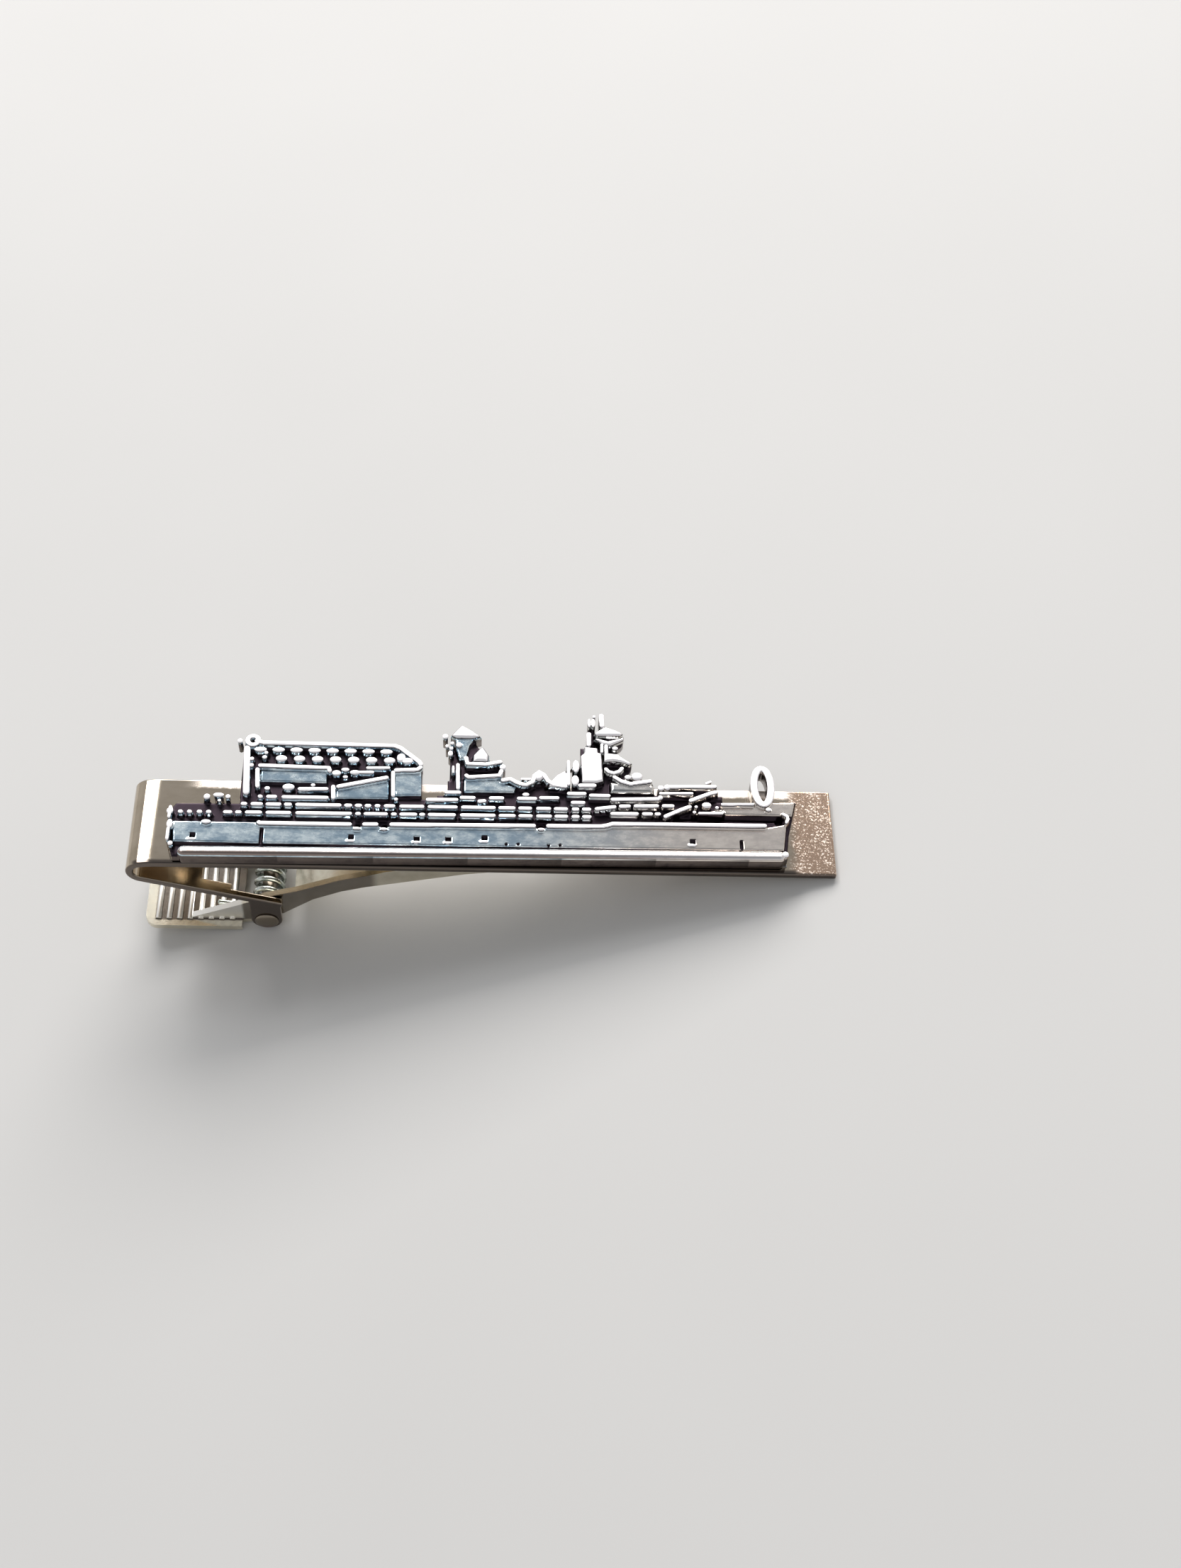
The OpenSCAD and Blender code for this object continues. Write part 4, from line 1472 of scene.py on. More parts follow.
    def studs(self) -> list[tuple[Point, Point]]:
        """Lays out the raised eggs.

        Returns:
            The centre of each and its half sizes along and up.
        """
        count, first, last = self.pads
        step = (last - first) / (count - 1)
        (high, upper), (low, lower) = self.upper_pads, self.lower_pads
        ovals = [((first + i * step, high), upper) for i in range(count)]
        ovals += [((first + (i + self.lower_shift) * step, low), lower) for i in range(1, count + 1)]
        ovals += [
            ((4.95, 10.36), (0.22, 0.22)), ((7.1, 9.25), (0.16, 0.14)),
            ((7.0, 8.82), (0.2, 0.16)), ((17.78, 9.05), (0.36, 0.42)), ((6.02, 8.65), (0.17, 0.17)),
            ((6.05, 8.04), (0.17, 0.17)), ((7.43, 5.87), (0.22, 0.18)), ((9.07, 6.05), (0.48, 0.3)),
            ((10.98, 6.25), (0.18, 0.14)), ((12.74, 7.46), (0.36, 0.26)), ((13.42, 7.78), (0.32, 0.17)),
            ((13.46, 7.08), (0.2, 0.14)), ((14.2, 7.54), (0.42, 0.22)), ((17.52, 5.06), (0.16, 0.14)),
            ((2.82, 5.0), (0.26, 0.26)), ((3.71, 5.17), (0.42, 0.2)), ((4.45, 5.03), (0.2, 0.19)),
            ((3.82, 4.64), (0.14, 0.12)), ((0.1, 3.63), (0.26, 0.3)), ((0.2, 2.44), (0.24, 0.42)),
            ((0.42, 0.66), (0.2, 0.2)), ((2.96, 2.68), (0.38, 0.18)), ((48.0, 0.62), (0.26, 0.26)),
            ((21.23, 11.2), (0.24, 0.24)), ((21.8, 10.54), (0.15, 0.15)), ((21.38, 10.25), (0.13, 0.15)),
            ((21.73, 10.05), (0.16, 0.16)), ((21.67, 9.55), (0.2, 0.27)), ((22.34, 10.41), (0.25, 0.25)),
            ((25.86, 8.33), (0.26, 0.26)), ((27.7, 5.75), (0.28, 0.16)), ((31.69, 8.55), (0.27, 0.6)),
            ((31.62, 7.2), (0.3, 0.5)), ((32.81, 12.81), (0.13, 0.42)), ((33.13, 12.82), (0.17, 0.42)),
            ((33.21, 13.44), (0.13, 0.13)), ((34.85, 10.37), (0.24, 0.16)), ((35.83, 7.6), (0.27, 0.2)),
            ((36.55, 7.72), (0.46, 0.38)), ((38.43, 6.63), (0.26, 0.24)), ((38.95, 6.72), (0.26, 0.26)),
            ((38.36, 5.71), (0.2, 0.2)), ((41.17, 4.89), (0.13, 0.13)), ((42.01, 5.08), (0.38, 0.27)),
            ((42.82, 4.85), (0.15, 0.12)), ((41.01, 4.38), (0.14, 0.12)), ((46.92, 4.77), (0.22, 0.17)),
            ((14.59, 2.3), (0.3, 0.11)), ((16.68, 2.28), (0.3, 0.11)), ((28.91, 2.53), (0.26, 0.11)),
        ]
        return ovals

    def plates(self) -> list[Form]:
        """Lays out the low plate and the open silhouettes that stand out beyond the bar.

        Returns:
            The forms.
        """
        low = self.plate
        return [
            Plate(((0.5, -0.1), (0.0, 1.4), (0.0, 4.2), (0.4, 4.83), (5.3, 4.9), (5.3, 5.6), (20.7, 5.6),
                   (20.7, 6.0), (39.4, 6.02), (42.4, 5.81), (49.3, 5.95), (48.5, 2.8), (48.2, 0.4)), low),
            Plate(((17.0, 5.4), (19.5, 5.4), (19.5, 8.4), (17.5, 10.3), (17.0, 10.3)), low),
            Plate(((22.0, 7.3), (25.7, 7.3), (25.95, 8.9), (24.7, 9.3), (24.3, 10.0), (23.6, 11.2),
                   (22.0, 11.3)), low),
            Plate(((33.5, 5.9), (37.9, 5.9), (37.9, 7.4), (36.3, 8.0), (33.5, 8.2)), low),
            Plate(((33.9, 9.5), (35.2, 9.5), (35.0, 10.9), (33.9, 10.9)), low),
            Oval((34.4, 11.5), (1.2, 0.9), low), Oval((35.0, 8.9), (1.15, 0.9), low),
            *(block(*sides, low) for sides in (
                (5.25, 17.4, 5.4, 10.4), (21.5, 26.9, 5.8, 7.4), (21.65, 22.5, 5.8, 10.6),
                (26.6, 33.5, 5.8, 6.7), (28.3, 29.3, 6.5, 8.0), (30.95, 31.25, 6.5, 9.0),
                (31.4, 32.0, 6.5, 8.9), (32.1, 33.8, 5.9, 10.8), (32.7, 33.3, 10.5, 13.3),
                (33.6, 34.0, 10.5, 13.6), (37.9, 43.4, 5.9, 6.4), (38.2, 43.0, 6.5, 7.0),
                (38.2, 39.2, 6.0, 6.9),
            )),
        ]

    def panels(self) -> list[Form]:
        """Lays out the flat sides of the hull and the houses, and the solid masses of the masts.

        Returns:
            The forms.
        """
        mid, top, sharp = self.panel, self.ridge, self.sharp
        return [
            Plate(((0.55, 1.05), (0.35, 2.9), (7.0, 2.92), (7.1, 2.6), (28.6, 2.8), (34.3, 3.0), (46.9, 3.3),
                   (48.3, 3.6), (47.95, 1.15), (7.0, 1.0)), mid, sharp),
            Plate(((41.0, 4.42), (48.8, 4.42), (49.1, 5.7), (43.4, 5.5), (43.2, 4.9)), mid, sharp),
            Plate(((6.8, 6.72), (12.0, 6.7), (11.96, 7.78), (6.8, 7.8)), mid, sharp),
            Plate(((12.8, 5.25), (16.9, 5.32), (16.85, 7.1), (12.8, 6.1)), mid, sharp),
            Plate(((17.4, 5.6), (19.47, 5.66), (19.42, 7.9), (17.35, 7.83)), mid, sharp),
            Plate(((22.8, 6.1), (26.77, 6.12), (26.93, 6.66), (26.0, 6.95), (25.6, 7.35),
                   (22.8, 7.35)), mid, 0.1),
            Plate(((22.05, 11.3), (23.54, 11.2), (23.15, 10.6), (22.9, 9.2), (22.4, 9.1),
                   (22.1, 10.2)), mid + 0.1, 0.16),
            Plate(((21.64, 11.3), (22.1, 11.95), (22.55, 12.45), (23.46, 11.86), (24.14, 11.27),
                   (23.48, 11.05), (22.09, 11.05)), top, 0.34),
            Plate(((23.4, 8.75), (24.75, 8.75), (24.8, 9.5), (24.3, 10.35), (23.95, 10.2),
                   (23.42, 9.5)), top, 0.42),
            Plate(((29.5, 6.55), (29.6, 7.05), (30.18, 7.75), (30.81, 8.15), (31.0, 7.85),
                   (31.0, 6.55)), top, 0.25),
            Oval((28.72, 7.55), (0.42, 0.5), top, 0.3),
            Plate(((32.4, 10.5), (33.45, 10.4), (33.5, 9.95), (33.75, 9.9), (33.88, 7.2), (33.3, 7.0),
                   (32.15, 7.0), (32.05, 9.6), (32.38, 9.9)), top, 0.22),
            Plate(((33.2, 11.85), (33.75, 12.3), (34.1, 12.5), (34.9, 12.22), (35.55, 11.85), (35.3, 11.62),
                   (33.35, 11.58)), top, 0.22),
            Plate(((33.15, 11.3), (33.9, 10.72), (34.5, 10.62), (35.55, 11.2), (35.6, 11.6), (35.3, 11.4),
                   (34.3, 11.12), (33.4, 11.38)), top, 0.22),
            Plate(((33.95, 9.95), (35.05, 9.85), (35.5, 9.45), (36.2, 8.95), (35.95, 8.8), (35.3, 9.05),
                   (34.7, 9.15), (33.95, 9.05)), top, 0.2),
            Plate(((34.4, 6.25), (37.85, 6.25), (37.95, 6.9), (37.6, 7.3), (34.4, 7.3)), mid + 0.1, 0.3),
        ]

    def lips(self) -> list[Form]:
        """The raised lips below the ports, which carry a painted highlight."""
        shape, (along, up) = (self.lip_half, self.panel + self.lip_rise, self.lip_rise), self.lip_shift
        return [Oval((x + along, y + up), *shape) for x, y in self.ports]

    def pits(self) -> list[Form]:
        """Lays out the pits in the hull's side, whose level is their depth.

        Returns:
            The forms.
        """
        square, edge = self.port_half, self.pit_edge
        small = [(26.21, 1.27), (27.13, 1.29), (29.5, 1.25), (30.39, 1.27)]
        notches = [(14.42, 14.82, 2.36, 3.1), (16.5, 16.9, 2.36, 3.1), (28.72, 29.1, 2.6, 3.3)]
        return [
            *(block(x - square, x + square, y - square, y + square, self.port_depth, edge)
              for x, y in self.ports),
            *(Oval(centre, (0.11, 0.11), 0.25, edge) for centre in small),
            *(block(*sides, 0.35, edge) for sides in notches),
            block(44.55, 44.75, 1.2, 2.0, 0.3, edge),
            block(7.12, 7.38, 1.0, 2.35, 0.22, edge),
            Bead(((38.3, 4.12), (47.5, 4.12)), 0.12, 0.3, edge),
            Oval((47.75, 4.0), (0.3, 0.3), 0.55, edge),
        ]

    def loop(self, centre: Point, along: float, up: float, half: float, count: int = 28) -> Bar:
        """Lays out a closed ring with an oval centre line.

        Args:
            centre: its centre.
            along: half its length along the ship.
            up: half its height.
            half: half the width of its bar.
            count: points round the ring.

        Returns:
            The ring's bar.
        """
        turns = np.linspace(0, 2 * math.pi, count)
        ring = tuple((centre[0] + along * math.cos(t), centre[1] + up * math.sin(t)) for t in turns)
        return Bar(ring, half, self.lean, self.crown, open_ends=True)

    def forms(self) -> list[Form]:
        """Gathers every raised form, with the foot of each bar and stud.

        Returns:
            The forms.
        """
        forms = self.plates() + self.panels() + self.lips()
        share, (bar_edge, stud_edge) = self.foot_share, self.foot_edges
        for bar in (*self.rails(), *self.frames(), *self.leads(), self.moulding()):
            forms.append(Bead(bar.drawn_in(share), bar.radius * share, self.ridge - bar.rise, bar_edge))
        for centre, (a, b) in self.studs():
            level = self.ridge - min(a, b) * self.egg * self.stud_foot
            forms.append(Oval(centre, (a * share, b * share), level, stud_edge))
        return forms

    def _raise(self, grid: Grid) -> None:
        """Raises every form on a field of points, then presses the pits.

        Args:
            grid: the field, whose depths, heights and marks are set anew.
        """
        grid.clear()
        for form in self.forms():
            part = grid.window(*form.reach(), self.margin)
            depth = form.depth(grid.xs[part], grid.ys[part])
            inner = form.edge - np.clip(depth, 0, form.edge)
            side = form.level - form.edge
            wall = np.maximum(side * (1 + np.minimum(depth + self.foot, 0) / self.draft), 0)
            crown = side + np.sqrt(form.edge ** 2 - inner ** 2)
            grid.inside[part] = np.maximum(grid.inside[part], depth)
            grid.height[part] = np.maximum(grid.height[part], np.where(depth >= 0, crown, wall))
        for pit in self.pits():
            part = grid.window(*pit.reach(), self.margin)
            depth = pit.depth(grid.xs[part], grid.ys[part])
            grid.height[part] -= np.clip(depth / pit.edge, 0, 1) * pit.level
            # marks the pits for painted shade
            grid.mark[part] = np.where(depth > -self.soil, -1.0, grid.mark[part])
        for lip in self.lips():
            part = grid.window(*lip.reach(), self.margin)
            on_lip = lip.depth(grid.xs[part], grid.ys[part]) > 0
            # marks the lips for a painted highlight
            grid.mark[part] = np.where(on_lip, 1.0, grid.mark[part])

    def relief_mesh(self) -> bpy.types.Mesh:
        """The casting's own mesh: a raised front, a flat back and walls between them.

        Returns:
            A closed mesh in metres.
        """
        grid = Grid(*(np.arange(start, end, self.pitch) for start, end in self.field))
        self._raise(grid)
        held = grid.inside > 0
        cells = held[:-1, :-1] | held[1:, :-1] | held[:-1, 1:] | held[1:, 1:]
        grid.move_to_edge(held)
        self._raise(grid)
        return Shell(grid, self.origin).mesh("ship_relief", cells)

    def _at(self, place: Point, level: float) -> Triple:
        """A place on the ship in the clip's frame."""
        return (self.origin.x + place[0], self.origin.y + place[1], self.origin.z + level)

    def build(self, material: bpy.types.Material, bead_metal: bpy.types.Material) -> None:
        """Builds the casting, its bars and its studs.

        Args:
            material: the casting's finish.
            bead_metal: the finish of the moulding along the keel.
        """
        dress(self.relief_mesh(), "ship_relief", material, Body.CLIP, ["ship_casting"])
        groups = {"ship_rails": self.rails(), "ship_frames": self.frames(), "bow_lead": self.leads(),
                  "keel_moulding": [self.moulding()]}
        for name, bars in groups.items():
            lifted = [replace(bar, line=[self._at(point, self.ridge - bar.rise) for point in bar.line])
                      for bar in bars]
            metal = bead_metal if name == "keel_moulding" else material
            grown = bar_growth(self.bar_sides, bars[0].flatness).grow(lines_mesh(lifted), metal)
            dress(grown, name, metal, Body.CLIP)
        eggs = []
        for centre, half in self.studs():
            rise = min(half) * self.egg
            eggs.append((self._at(centre, self.ridge - rise), (*half, rise)))
        grown = stud_growth(*self.stud_sides).grow(points_mesh(eggs), material)
        dress(grown, "ship_studs", material, Body.CLIP)


# Strip, lever, spring, pin and solder

@dataclass
class FoldedStrip:
    """The strip: front bar, eased bend, rear arm with its window, and two ears for the pin."""

    thick: float = 0.6
    arm_angle: float = 19.3
    ease_start: float = 2.33
    ease_radius: float = 5.7
    ease_turn: float = 12.5
    web: float = 5.0
    rail: float = 1.1
    ear: float = 1.25
    tongue: float = 0.8
    bend_radius: float = 1.45
    pin_along: float = 10.4
    pin_drop: float = 7.9
    pin_hole: float = 0.6
    root: float = 0.3
    window_top: float = -2.2
    overshoot: float = 1.0
    edge: float = 0.15
    ease_steps: int = 7
    bend_steps: int = 40
    tongue_steps: int = 17
    ear_steps: int = 25
    hole_steps: int = 24

    def __post_init__(self) -> None:
        """Takes the strip's place from the frame."""
        low, high = corner("folded_strip", 0), corner("folded_strip", 1)
        self.left, self.tail, self.half = low.x, high.x, high.y
        self.front = high.z
        self.bend = (self.left + self.bend_radius, self.front - self.bend_radius)
        self.pin = (self.left + self.pin_along, -self.pin_drop)
        self.slant = math.radians(self.arm_angle)

    def _arm_point(self, away: float) -> Point:
        """Finds a point on the arm's outer face.

        Args:
            away: its distance from the bend's end along the arm.

        Returns:
            Its place along the clip and its level.
        """
        run, fall = math.cos(self.slant), math.sin(self.slant)
        foot = (self.bend[0] - self.bend_radius * fall, self.bend[1] - self.bend_radius * run)
        return (foot[0] + away * run, foot[1] - away * fall)

    def outline(self) -> list[Point]:
        """Draws the strip's side: its outer face from the tail to the arm's end, and back inside.

        Returns:
            Place along the clip and level of each point.
        """
        eased = (90, 90 + self.ease_turn, self.ease_steps)
        tight = (90 + self.ease_turn, 270 - self.arm_angle, self.bend_steps)
        ease = (self.left + self.ease_start, self.front - self.ease_radius)
        first = arc(ease, self.ease_radius, *eased)
        lead, foot = first[-1], self._arm_point(0)
        a1, a2 = math.radians(180 + self.ease_turn), math.radians(360 - self.arm_angle)
        way = (math.sin(a2) - math.sin(a1), math.cos(a1) - math.cos(a2))
        square = (math.sin(self.slant), math.cos(self.slant))
        gap = (foot[0] - lead[0]) * square[0] + (foot[1] - lead[1]) * square[1]
        radius = gap / (way[0] * square[0] + way[1] * square[1])
        centre = (lead[0] - radius * math.sin(a1), lead[1] + radius * math.cos(a1))
        outer = first + arc(centre, radius, *tight)[1:]
        inner = arc(ease, self.ease_radius - self.thick, *eased)
        inner += arc(centre, radius - self.thick, *tight)[1:]
        end = self._arm_point((self.pin[0] + self.ear - foot[0]) / square[1])
        inside = (end[0] + self.thick * square[0], end[1] + self.thick * square[1])
        tail = [(self.tail, self.front - self.thick), (self.tail, self.front)]
        return [tail[1], *outer, end, inside, *inner[::-1], tail[0]]

    def window(self) -> list[Point]:
        """Draws the window: straight sides, a wide fork at the ears and a round tongue.

        Returns:
            Place along and across the clip of each point.
        """
        start = self._arm_point(self.web)[0]
        end = self.pin[0] + self.ear + self.overshoot
        fork = self.pin[0] - 2 * self.ear
        narrow, wide = self.half - self.rail, self.half - self.thick
        tongue = arc((0, 0), 1.0, -90, 90, self.tongue_steps)
        mouth = [(start + self.tongue * x, narrow / 2 * y) for x, y in tongue]
        return [(start, -narrow), *mouth, (start, narrow), (fork, narrow), (fork, wide), (end, wide),
                (end, -wide), (fork, -wide), (fork, -narrow)]

    def ear_outline(self) -> list[Point]:
        """Draws an ear's side: round below the pin, sloped where it meets the arm.

        Returns:
            Place along the clip and level of each point.
        """
        foot, slope = self._arm_point(0), math.tan(self.slant)
        ends = [self.pin[0] + side * self.ear for side in (1, -1)]
        roots = [(at, foot[1] - (at - foot[0]) * slope + self.root) for at in ends]
        return [*arc(self.pin, self.ear, 180, 360, self.ear_steps), *roots]

    def build(self, material: bpy.types.Material) -> None:
        """Folds the strip, cuts its window and drills its ears.

        Args:
            material: its finish.
        """
        strip = Blank.prism(self.outline(), -self.half, self.half)
        strip.cut(Blank.prism(self.window(), self.pin[1] - 2 * self.overshoot, self.window_top, "z"))
        for side in (-1, 1):
            low, high = sorted((side * (self.half - self.thick), side * self.half))
            strip.join(Blank.prism(self.ear_outline(), low, high))
        reach = self.half + self.overshoot
        hole = arc(self.pin, self.pin_hole, 0, 360, self.hole_steps + 1)[:-1]
        strip.cut(Blank.prism(hole, -reach, reach))
        mesh = strip.break_edges(self.edge, 4)
        dress(mesh, "folded_strip_dressed", material, Body.CLIP, ["folded_strip"])


@dataclass
class Lever:
    """The ribbed thumb tab, its walls and the toothed jaw, with every edge broken."""

    edge: float = 0.07
    edge_turn: float = 35.0
    tab_top: float = -8.95
    ribs: Point = (-29.39, -22.4)
    ribs_half: float = 3.35
    wall: float = 3.25

    def build(self, plate: LeverPlate) -> None:
        """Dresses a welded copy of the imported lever.

        Args:
            plate: its finish, which is placed by the tab, the ribs and the walls.
        """
        mesh = Blank(frame["nodes"]["lever"].data.copy()).break_edges(self.edge, 2, self.edge_turn)
        material = plate.build(self.tab_top, self.ribs, self.ribs_half, self.wall)
        dress(mesh, "lever_dressed", material, Body.LEVER, ["lever"])


@dataclass
class CoilSpring:
    """The spring wire, wound round the pin between its two legs."""

    wire: float = 0.45
    pitch: float = 0.95
    radius: float = 1.08
    turns: int = 4
    arm_reach: float = 5.8
    arm_level: float = -3.78
    bear: Point = (-23.2, -8.435)
    tab_leg: float = 4.0
    steps: int = 30
    leg_steps: int = 12
    sides: int = 20
    twist_half: float = 1.95

    def _leaves(self, pin: Point, point: Point, side: float) -> float:
        """Angle round the pin at which a straight leg to a point leaves the coil."""
        away = (point[0] - pin[0], point[1] - pin[1])
        return math.atan2(away[1], away[0]) + side * math.acos(self.radius / math.hypot(*away))

    def path(self, pin: Point) -> np.ndarray:
        """Centre line of the wire, from the leg on the arm to the leg on the tab.

        Args:
            pin: the pin's place along the clip and its level.

        Returns:
            One row of X, Y and Z for each step.
        """
        turn = 2 * math.pi
        arm_tip = (pin[0] - self.arm_reach, self.arm_level)
        start, end = self._leaves(pin, arm_tip, -1), self._leaves(pin, self.bear, 1)
        sweep = start - end + turn * self.turns
        length = self.pitch * sweep / turn
        shares = np.linspace(0, 1, int(self.steps * sweep / turn))
        angles = start - shares * sweep
        coil = np.stack([pin[0] + self.radius * np.cos(angles), length / 2 - shares * length,
                         pin[1] + self.radius * np.sin(angles)], -1)
        first, last = coil[0], coil[-1]
        way = np.array([self.bear[0] - last[0], 0, self.bear[1] - last[2]])
        tab_tip = last + self.tab_leg * way / np.linalg.norm(way)
        arm_leg = np.linspace((arm_tip[0], length / 2, arm_tip[1]), first, self.leg_steps)
        tab_leg = np.linspace(last, tab_tip, self.leg_steps)
        return np.concatenate([arm_leg[:-1], coil, tab_leg[1:]])

    def build(self, pin: Point, material: bpy.types.Material) -> None:
        """Winds the spring and puts it in the scene, attached to neither body.

        Args:
            pin: the pin's place along the clip and its level.
            material: its finish.
        """
        mesh = bar_growth(self.sides).grow(lines_mesh([Bar(self.path(pin), self.wire / 2)]), material)
        mesh.name = "spring_wire"
        piece = put(mesh, "spring_wire", material)
        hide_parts("torsion_spring")
        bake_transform(piece)
        LOG.info("spring_wire: %d faces", len(mesh.polygons))


@dataclass
class HingePin:
    """The pin with its two peened heads."""

    radius: float = 0.6
    head: float = 0.95
    rise: float = 0.3
    lip: float = 0.07
    around: int = 48
    weld: float = 0.0005

    def profile(self, half: float) -> list[Point]:
        """Draws half the pin's side, from one head's crown to the middle.

        Args:
            half: how far the head's underside stands from the middle.

        Returns:
            Radius and place along the pin of each point.
        """
        crown = [(self.head * math.sin(t), half + self.lip + (self.rise - self.lip) * math.cos(t))
                 for t in np.linspace(0, math.pi / 2, 10)]
        rim = [(self.head, half + self.lip * 0.4), (self.head - self.lip * 0.5, half)]
        return [*crown, *rim, (self.radius, half), (self.radius, 0.0)]

    def build(self, pin: Point, half: float, material: bpy.types.Material) -> None:
        """Turns the pin about its axis.

        Args:
            pin: the axis, as its place along the clip and its level.
            half: how far the undersides of the heads stand from the middle.
            material: its finish.
        """
        side = self.profile(half)
        whole = side + [(r, -y) for r, y in side[-2::-1]]
        turns = np.linspace(0, 2 * math.pi, self.around, endpoint=False)
        shape = bmesh.new()
        axis = Vector((pin[0], 0, pin[1]))
        rings = [
            [shape.verts.new((axis + Vector((r * math.cos(t), y, r * math.sin(t)))) * MM) for t in turns]
            for r, y in whole
        ]
        for a, b in zip(rings, rings[1:]):
            for i in range(self.around):
                j = (i + 1) % self.around
                shape.faces.new((a[i], a[j], b[j], b[i]))
        bmesh.ops.remove_doubles(shape, verts=shape.verts, dist=self.weld * MM)
        bmesh.ops.recalc_face_normals(shape, faces=shape.faces)
        for face in shape.faces:
            face.smooth = True
        mesh = bpy.data.meshes.new("hinge_pin_turned")
        shape.to_mesh(mesh)
        shape.free()
        dress(mesh, "hinge_pin_turned", material, Body.CLIP, ["hinge_pin"])


@dataclass
class SolderBed:
    """The film of solder under the casting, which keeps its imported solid."""

    node: str = "solder_bed"

    def build(self, material: bpy.types.Material) -> None:
        """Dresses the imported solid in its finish.

        Args:
            material: its finish.
        """
        solder = frame["nodes"][self.node].data
        solder.materials.clear()
        solder.materials.append(material)
        LOG.info("%s: %d faces", self.node, len(solder.polygons))


# Studio

@dataclass(frozen=True)
class SoftBox:
    """A flat lamp that faces the clip from afar.

    Its aim is where it hangs, in degrees: from straight behind towards the tail, and above the
    bar's face. Its spread is how wide and how high it looks from the clip, in degrees as well, and
    its glow is its brightness, where white paper shows 1.
    """

    name: str
    aim: Point
    spread: Point
    glow: float
    colour: Colour
    away: float = 900.0

    def hang(self) -> None:
        """Hangs the lamp in the scene."""
        around, above = math.radians(self.aim[0]), math.radians(self.aim[1])
        level = math.cos(above)
        way = Vector((math.sin(around) * level, math.cos(around) * level, math.sin(above)))
        wide, high = (2 * self.away * MM * math.tan(math.radians(s / 2)) for s in self.spread)
        data = bpy.data.lights.new(self.name, "AREA")
        data.shape = "RECTANGLE"
        data.size, data.size_y = wide, high
        data.energy = self.glow * math.pi * wide * high
        data.color = self.colour
        thing = bpy.data.objects.new(self.name, data)
        bpy.context.scene.collection.objects.link(thing)
        turn = way.to_track_quat("Z", "Y").to_matrix().to_4x4()
        thing.matrix_world = Matrix.Translation(way * self.away * MM) @ turn


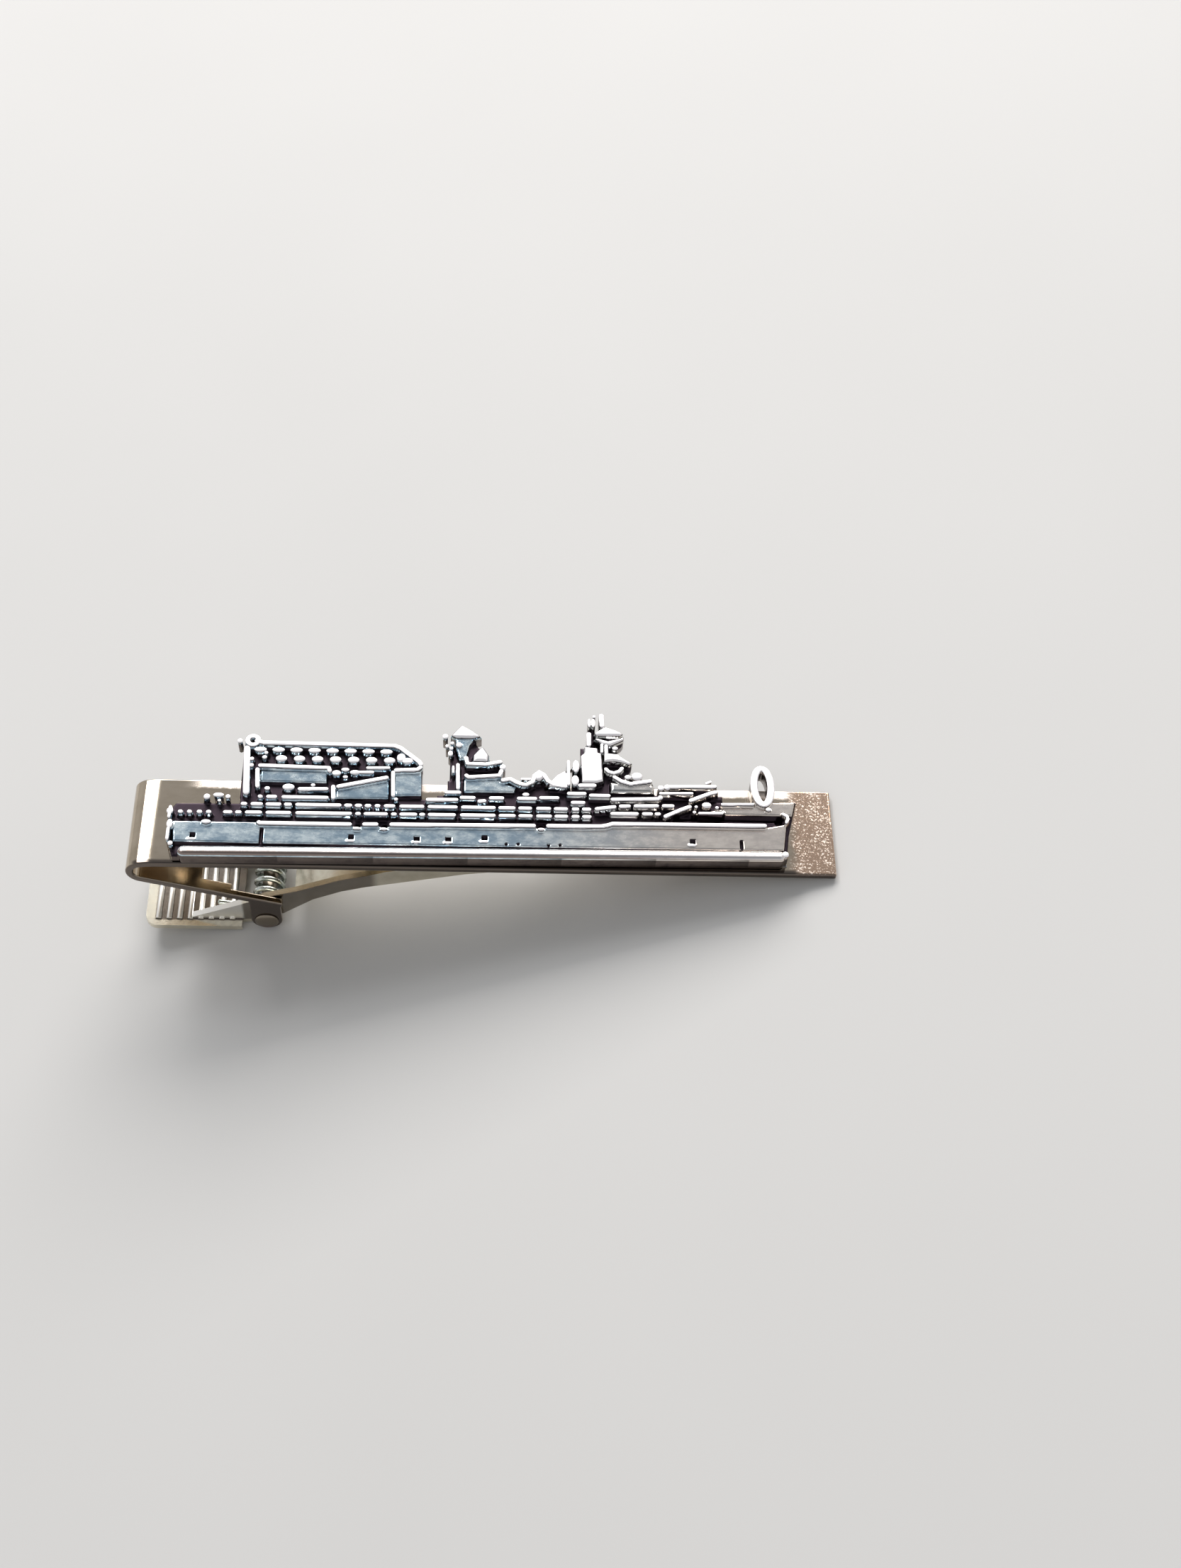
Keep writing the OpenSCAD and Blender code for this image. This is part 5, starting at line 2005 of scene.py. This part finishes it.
@dataclass
class Studio:
    """The pale floor on which the clip lies, the soft light and the camera of the photograph."""

    focal_px: float = 2800.0
    frame_px: tuple[int, int] = (1666, 2212)
    sensor: float = 36.0
    sight: Point = (0.005, 10.0)
    place: Triple = (-3.2232, -84.5498, 132.6250)
    right: Triple = (0.998292, -0.014074, 0.056700)
    down: Triple = (0.019931, -0.830273, -0.557000)
    forward: Triple = (0.054916, 0.557179, -0.828575)
    ear: Triple = (-20.3, 0.0, -7.9)
    ear_radius: float = 1.25
    tab_end: Triple = (-22.4, 0.0, -9.45)
    floor_gap: float = 0.02
    floor_reach: float = 5000.0
    floor_tones: tuple[Colour, Colour] = ((0.60, 0.595, 0.58), (0.63, 0.625, 0.61))
    floor_grain: Grain = Grain(40.0, 2.0)
    floor_dull: float = 0.75
    boxes: tuple[SoftBox, ...] = (
        SoftBox("soft_box", aim=(0.0, 34.0), spread=(46.0, 28.0), glow=8.5, colour=(1.0, 0.97, 0.95)),
        SoftBox("side_box", aim=(-38.0, 46.0), spread=(16.0, 14.0), glow=9.5, colour=(0.97, 0.98, 1.0)),
    )
    sky: tuple[tuple[float, Colour], ...] = (
        (0.0, (0.6, 0.6, 0.6)), (0.25, (0.62, 0.62, 0.62)), (0.6, (0.52, 0.52, 0.53)),
        (0.86, (0.44, 0.45, 0.47)), (0.95, (0.24, 0.25, 0.265)), (1.0, (0.16, 0.165, 0.175)),
    )

    def camera(self) -> None:
        """Sets up the camera as the photograph's was."""
        lens = bpy.data.cameras.new("camera")
        lens.sensor_width = self.sensor
        lens.lens = self.focal_px / max(self.frame_px) * lens.sensor_width
        lens.clip_start, lens.clip_end = self.sight
        eye = bpy.data.objects.new("camera", lens)
        bpy.context.scene.collection.objects.link(eye)
        x, y, z = Vector(self.right), -Vector(self.down), -Vector(self.forward)
        turn = Matrix((x, y, z)).transposed().to_4x4()
        eye.matrix_world = Matrix.Translation(Vector(self.place) * MM) @ turn
        bpy.context.scene.camera = eye

    def floor(self) -> None:
        """Lays the floor under the tail's tip and the ears, on which the clip rests."""
        tail = Vector((corner("folded_strip", 1).x, 0, 0))
        tab = Vector(self.tab_end)
        slope = max(self._slope(tail), (tail.z - tab.z) / (tail.x - tab.x))
        way = Vector((1, 0, slope)).normalized()
        up = Vector((-way.z, 0, way.x))
        base = tail - up * self.floor_gap
        corners = [base + way * a * self.floor_reach + Vector((0, b * self.floor_reach, 0))
                   for a, b in ((-1, -1), (1, -1), (1, 1), (-1, 1))]
        mesh = bpy.data.meshes.new("floor")
        mesh.from_pydata([c * MM for c in corners], [], [(0, 1, 2, 3)])
        look = Finish("pale_floor")
        tone = look.blend(look.noise(self.floor_grain), *self.floor_tones)
        pale = look.add("ShaderNodeBsdfPrincipled", None,
                        {"Base Color": tone, "Roughness": self.floor_dull})
        clear = look.add("ShaderNodeBsdfTransparent")
        back = look.add("ShaderNodeNewGeometry", out="Backfacing")
        both = look.add("ShaderNodeMixShader", None, {0: back, 1: pale, 2: clear})
        look.add("ShaderNodeOutputMaterial", None, {"Surface": both})
        put(mesh, "floor", look.material)

    def _slope(self, tail: Vector) -> float:
        """Slope of the floor that touches the tail and passes under the round ears."""
        away = tail - Vector(self.ear)
        return math.tan(math.atan2(away.z, away.x) + math.asin(self.ear_radius / away.length))

    def light(self) -> None:
        """Hangs two soft boxes behind the clip and fills the room with a plain sky."""
        for box in self.boxes:
            box.hang()
        world = bpy.data.worlds.new("room")
        bpy.context.scene.world = world
        world.use_nodes = True
        sky = Tree(world.node_tree)
        way = sky.add("ShaderNodeTexCoord", out="Generated")
        up = Sock(sky, sky.add("ShaderNodeSeparateXYZ", inputs={0: way}).socket.node.outputs["Z"])
        tone = sky.add("ShaderNodeValToRGB", {"stops": self.sky}, {"Fac": up})
        glow = sky.add("ShaderNodeBackground", None, {"Color": tone, "Strength": 1.0})
        sky.add("ShaderNodeOutputWorld", None, {"Surface": glow})

    def build(self) -> None:
        """Builds the camera, the floor and the light."""
        self.camera()
        self.floor()
        self.light()
        bpy.context.scene.view_settings.view_transform = "Standard"


def main() -> None:
    """Builds the studio and the clip's pieces in order."""
    logging.basicConfig(level=logging.INFO, format="%(message)s")
    Studio().build()
    strip = FoldedStrip()
    strip.build(PlatedStrip().build())
    ship = ShipRelief()
    back, keel = ship.origin.z, ship.origin.y
    plated = CastPlate().build(back + ship.panel, back + ship.ridge, keel)
    ship.build(plated, ShadedBead().build(keel + ship.bead_axis))
    Lever().build(LeverPlate())
    CoilSpring().build(strip.pin, DrawnWire().build())
    HingePin().build(strip.pin, strip.half, TurnedPin().build(*strip.pin))
    SolderBed().build(DullSolder().build())


if __name__ == "__main__":
    main()
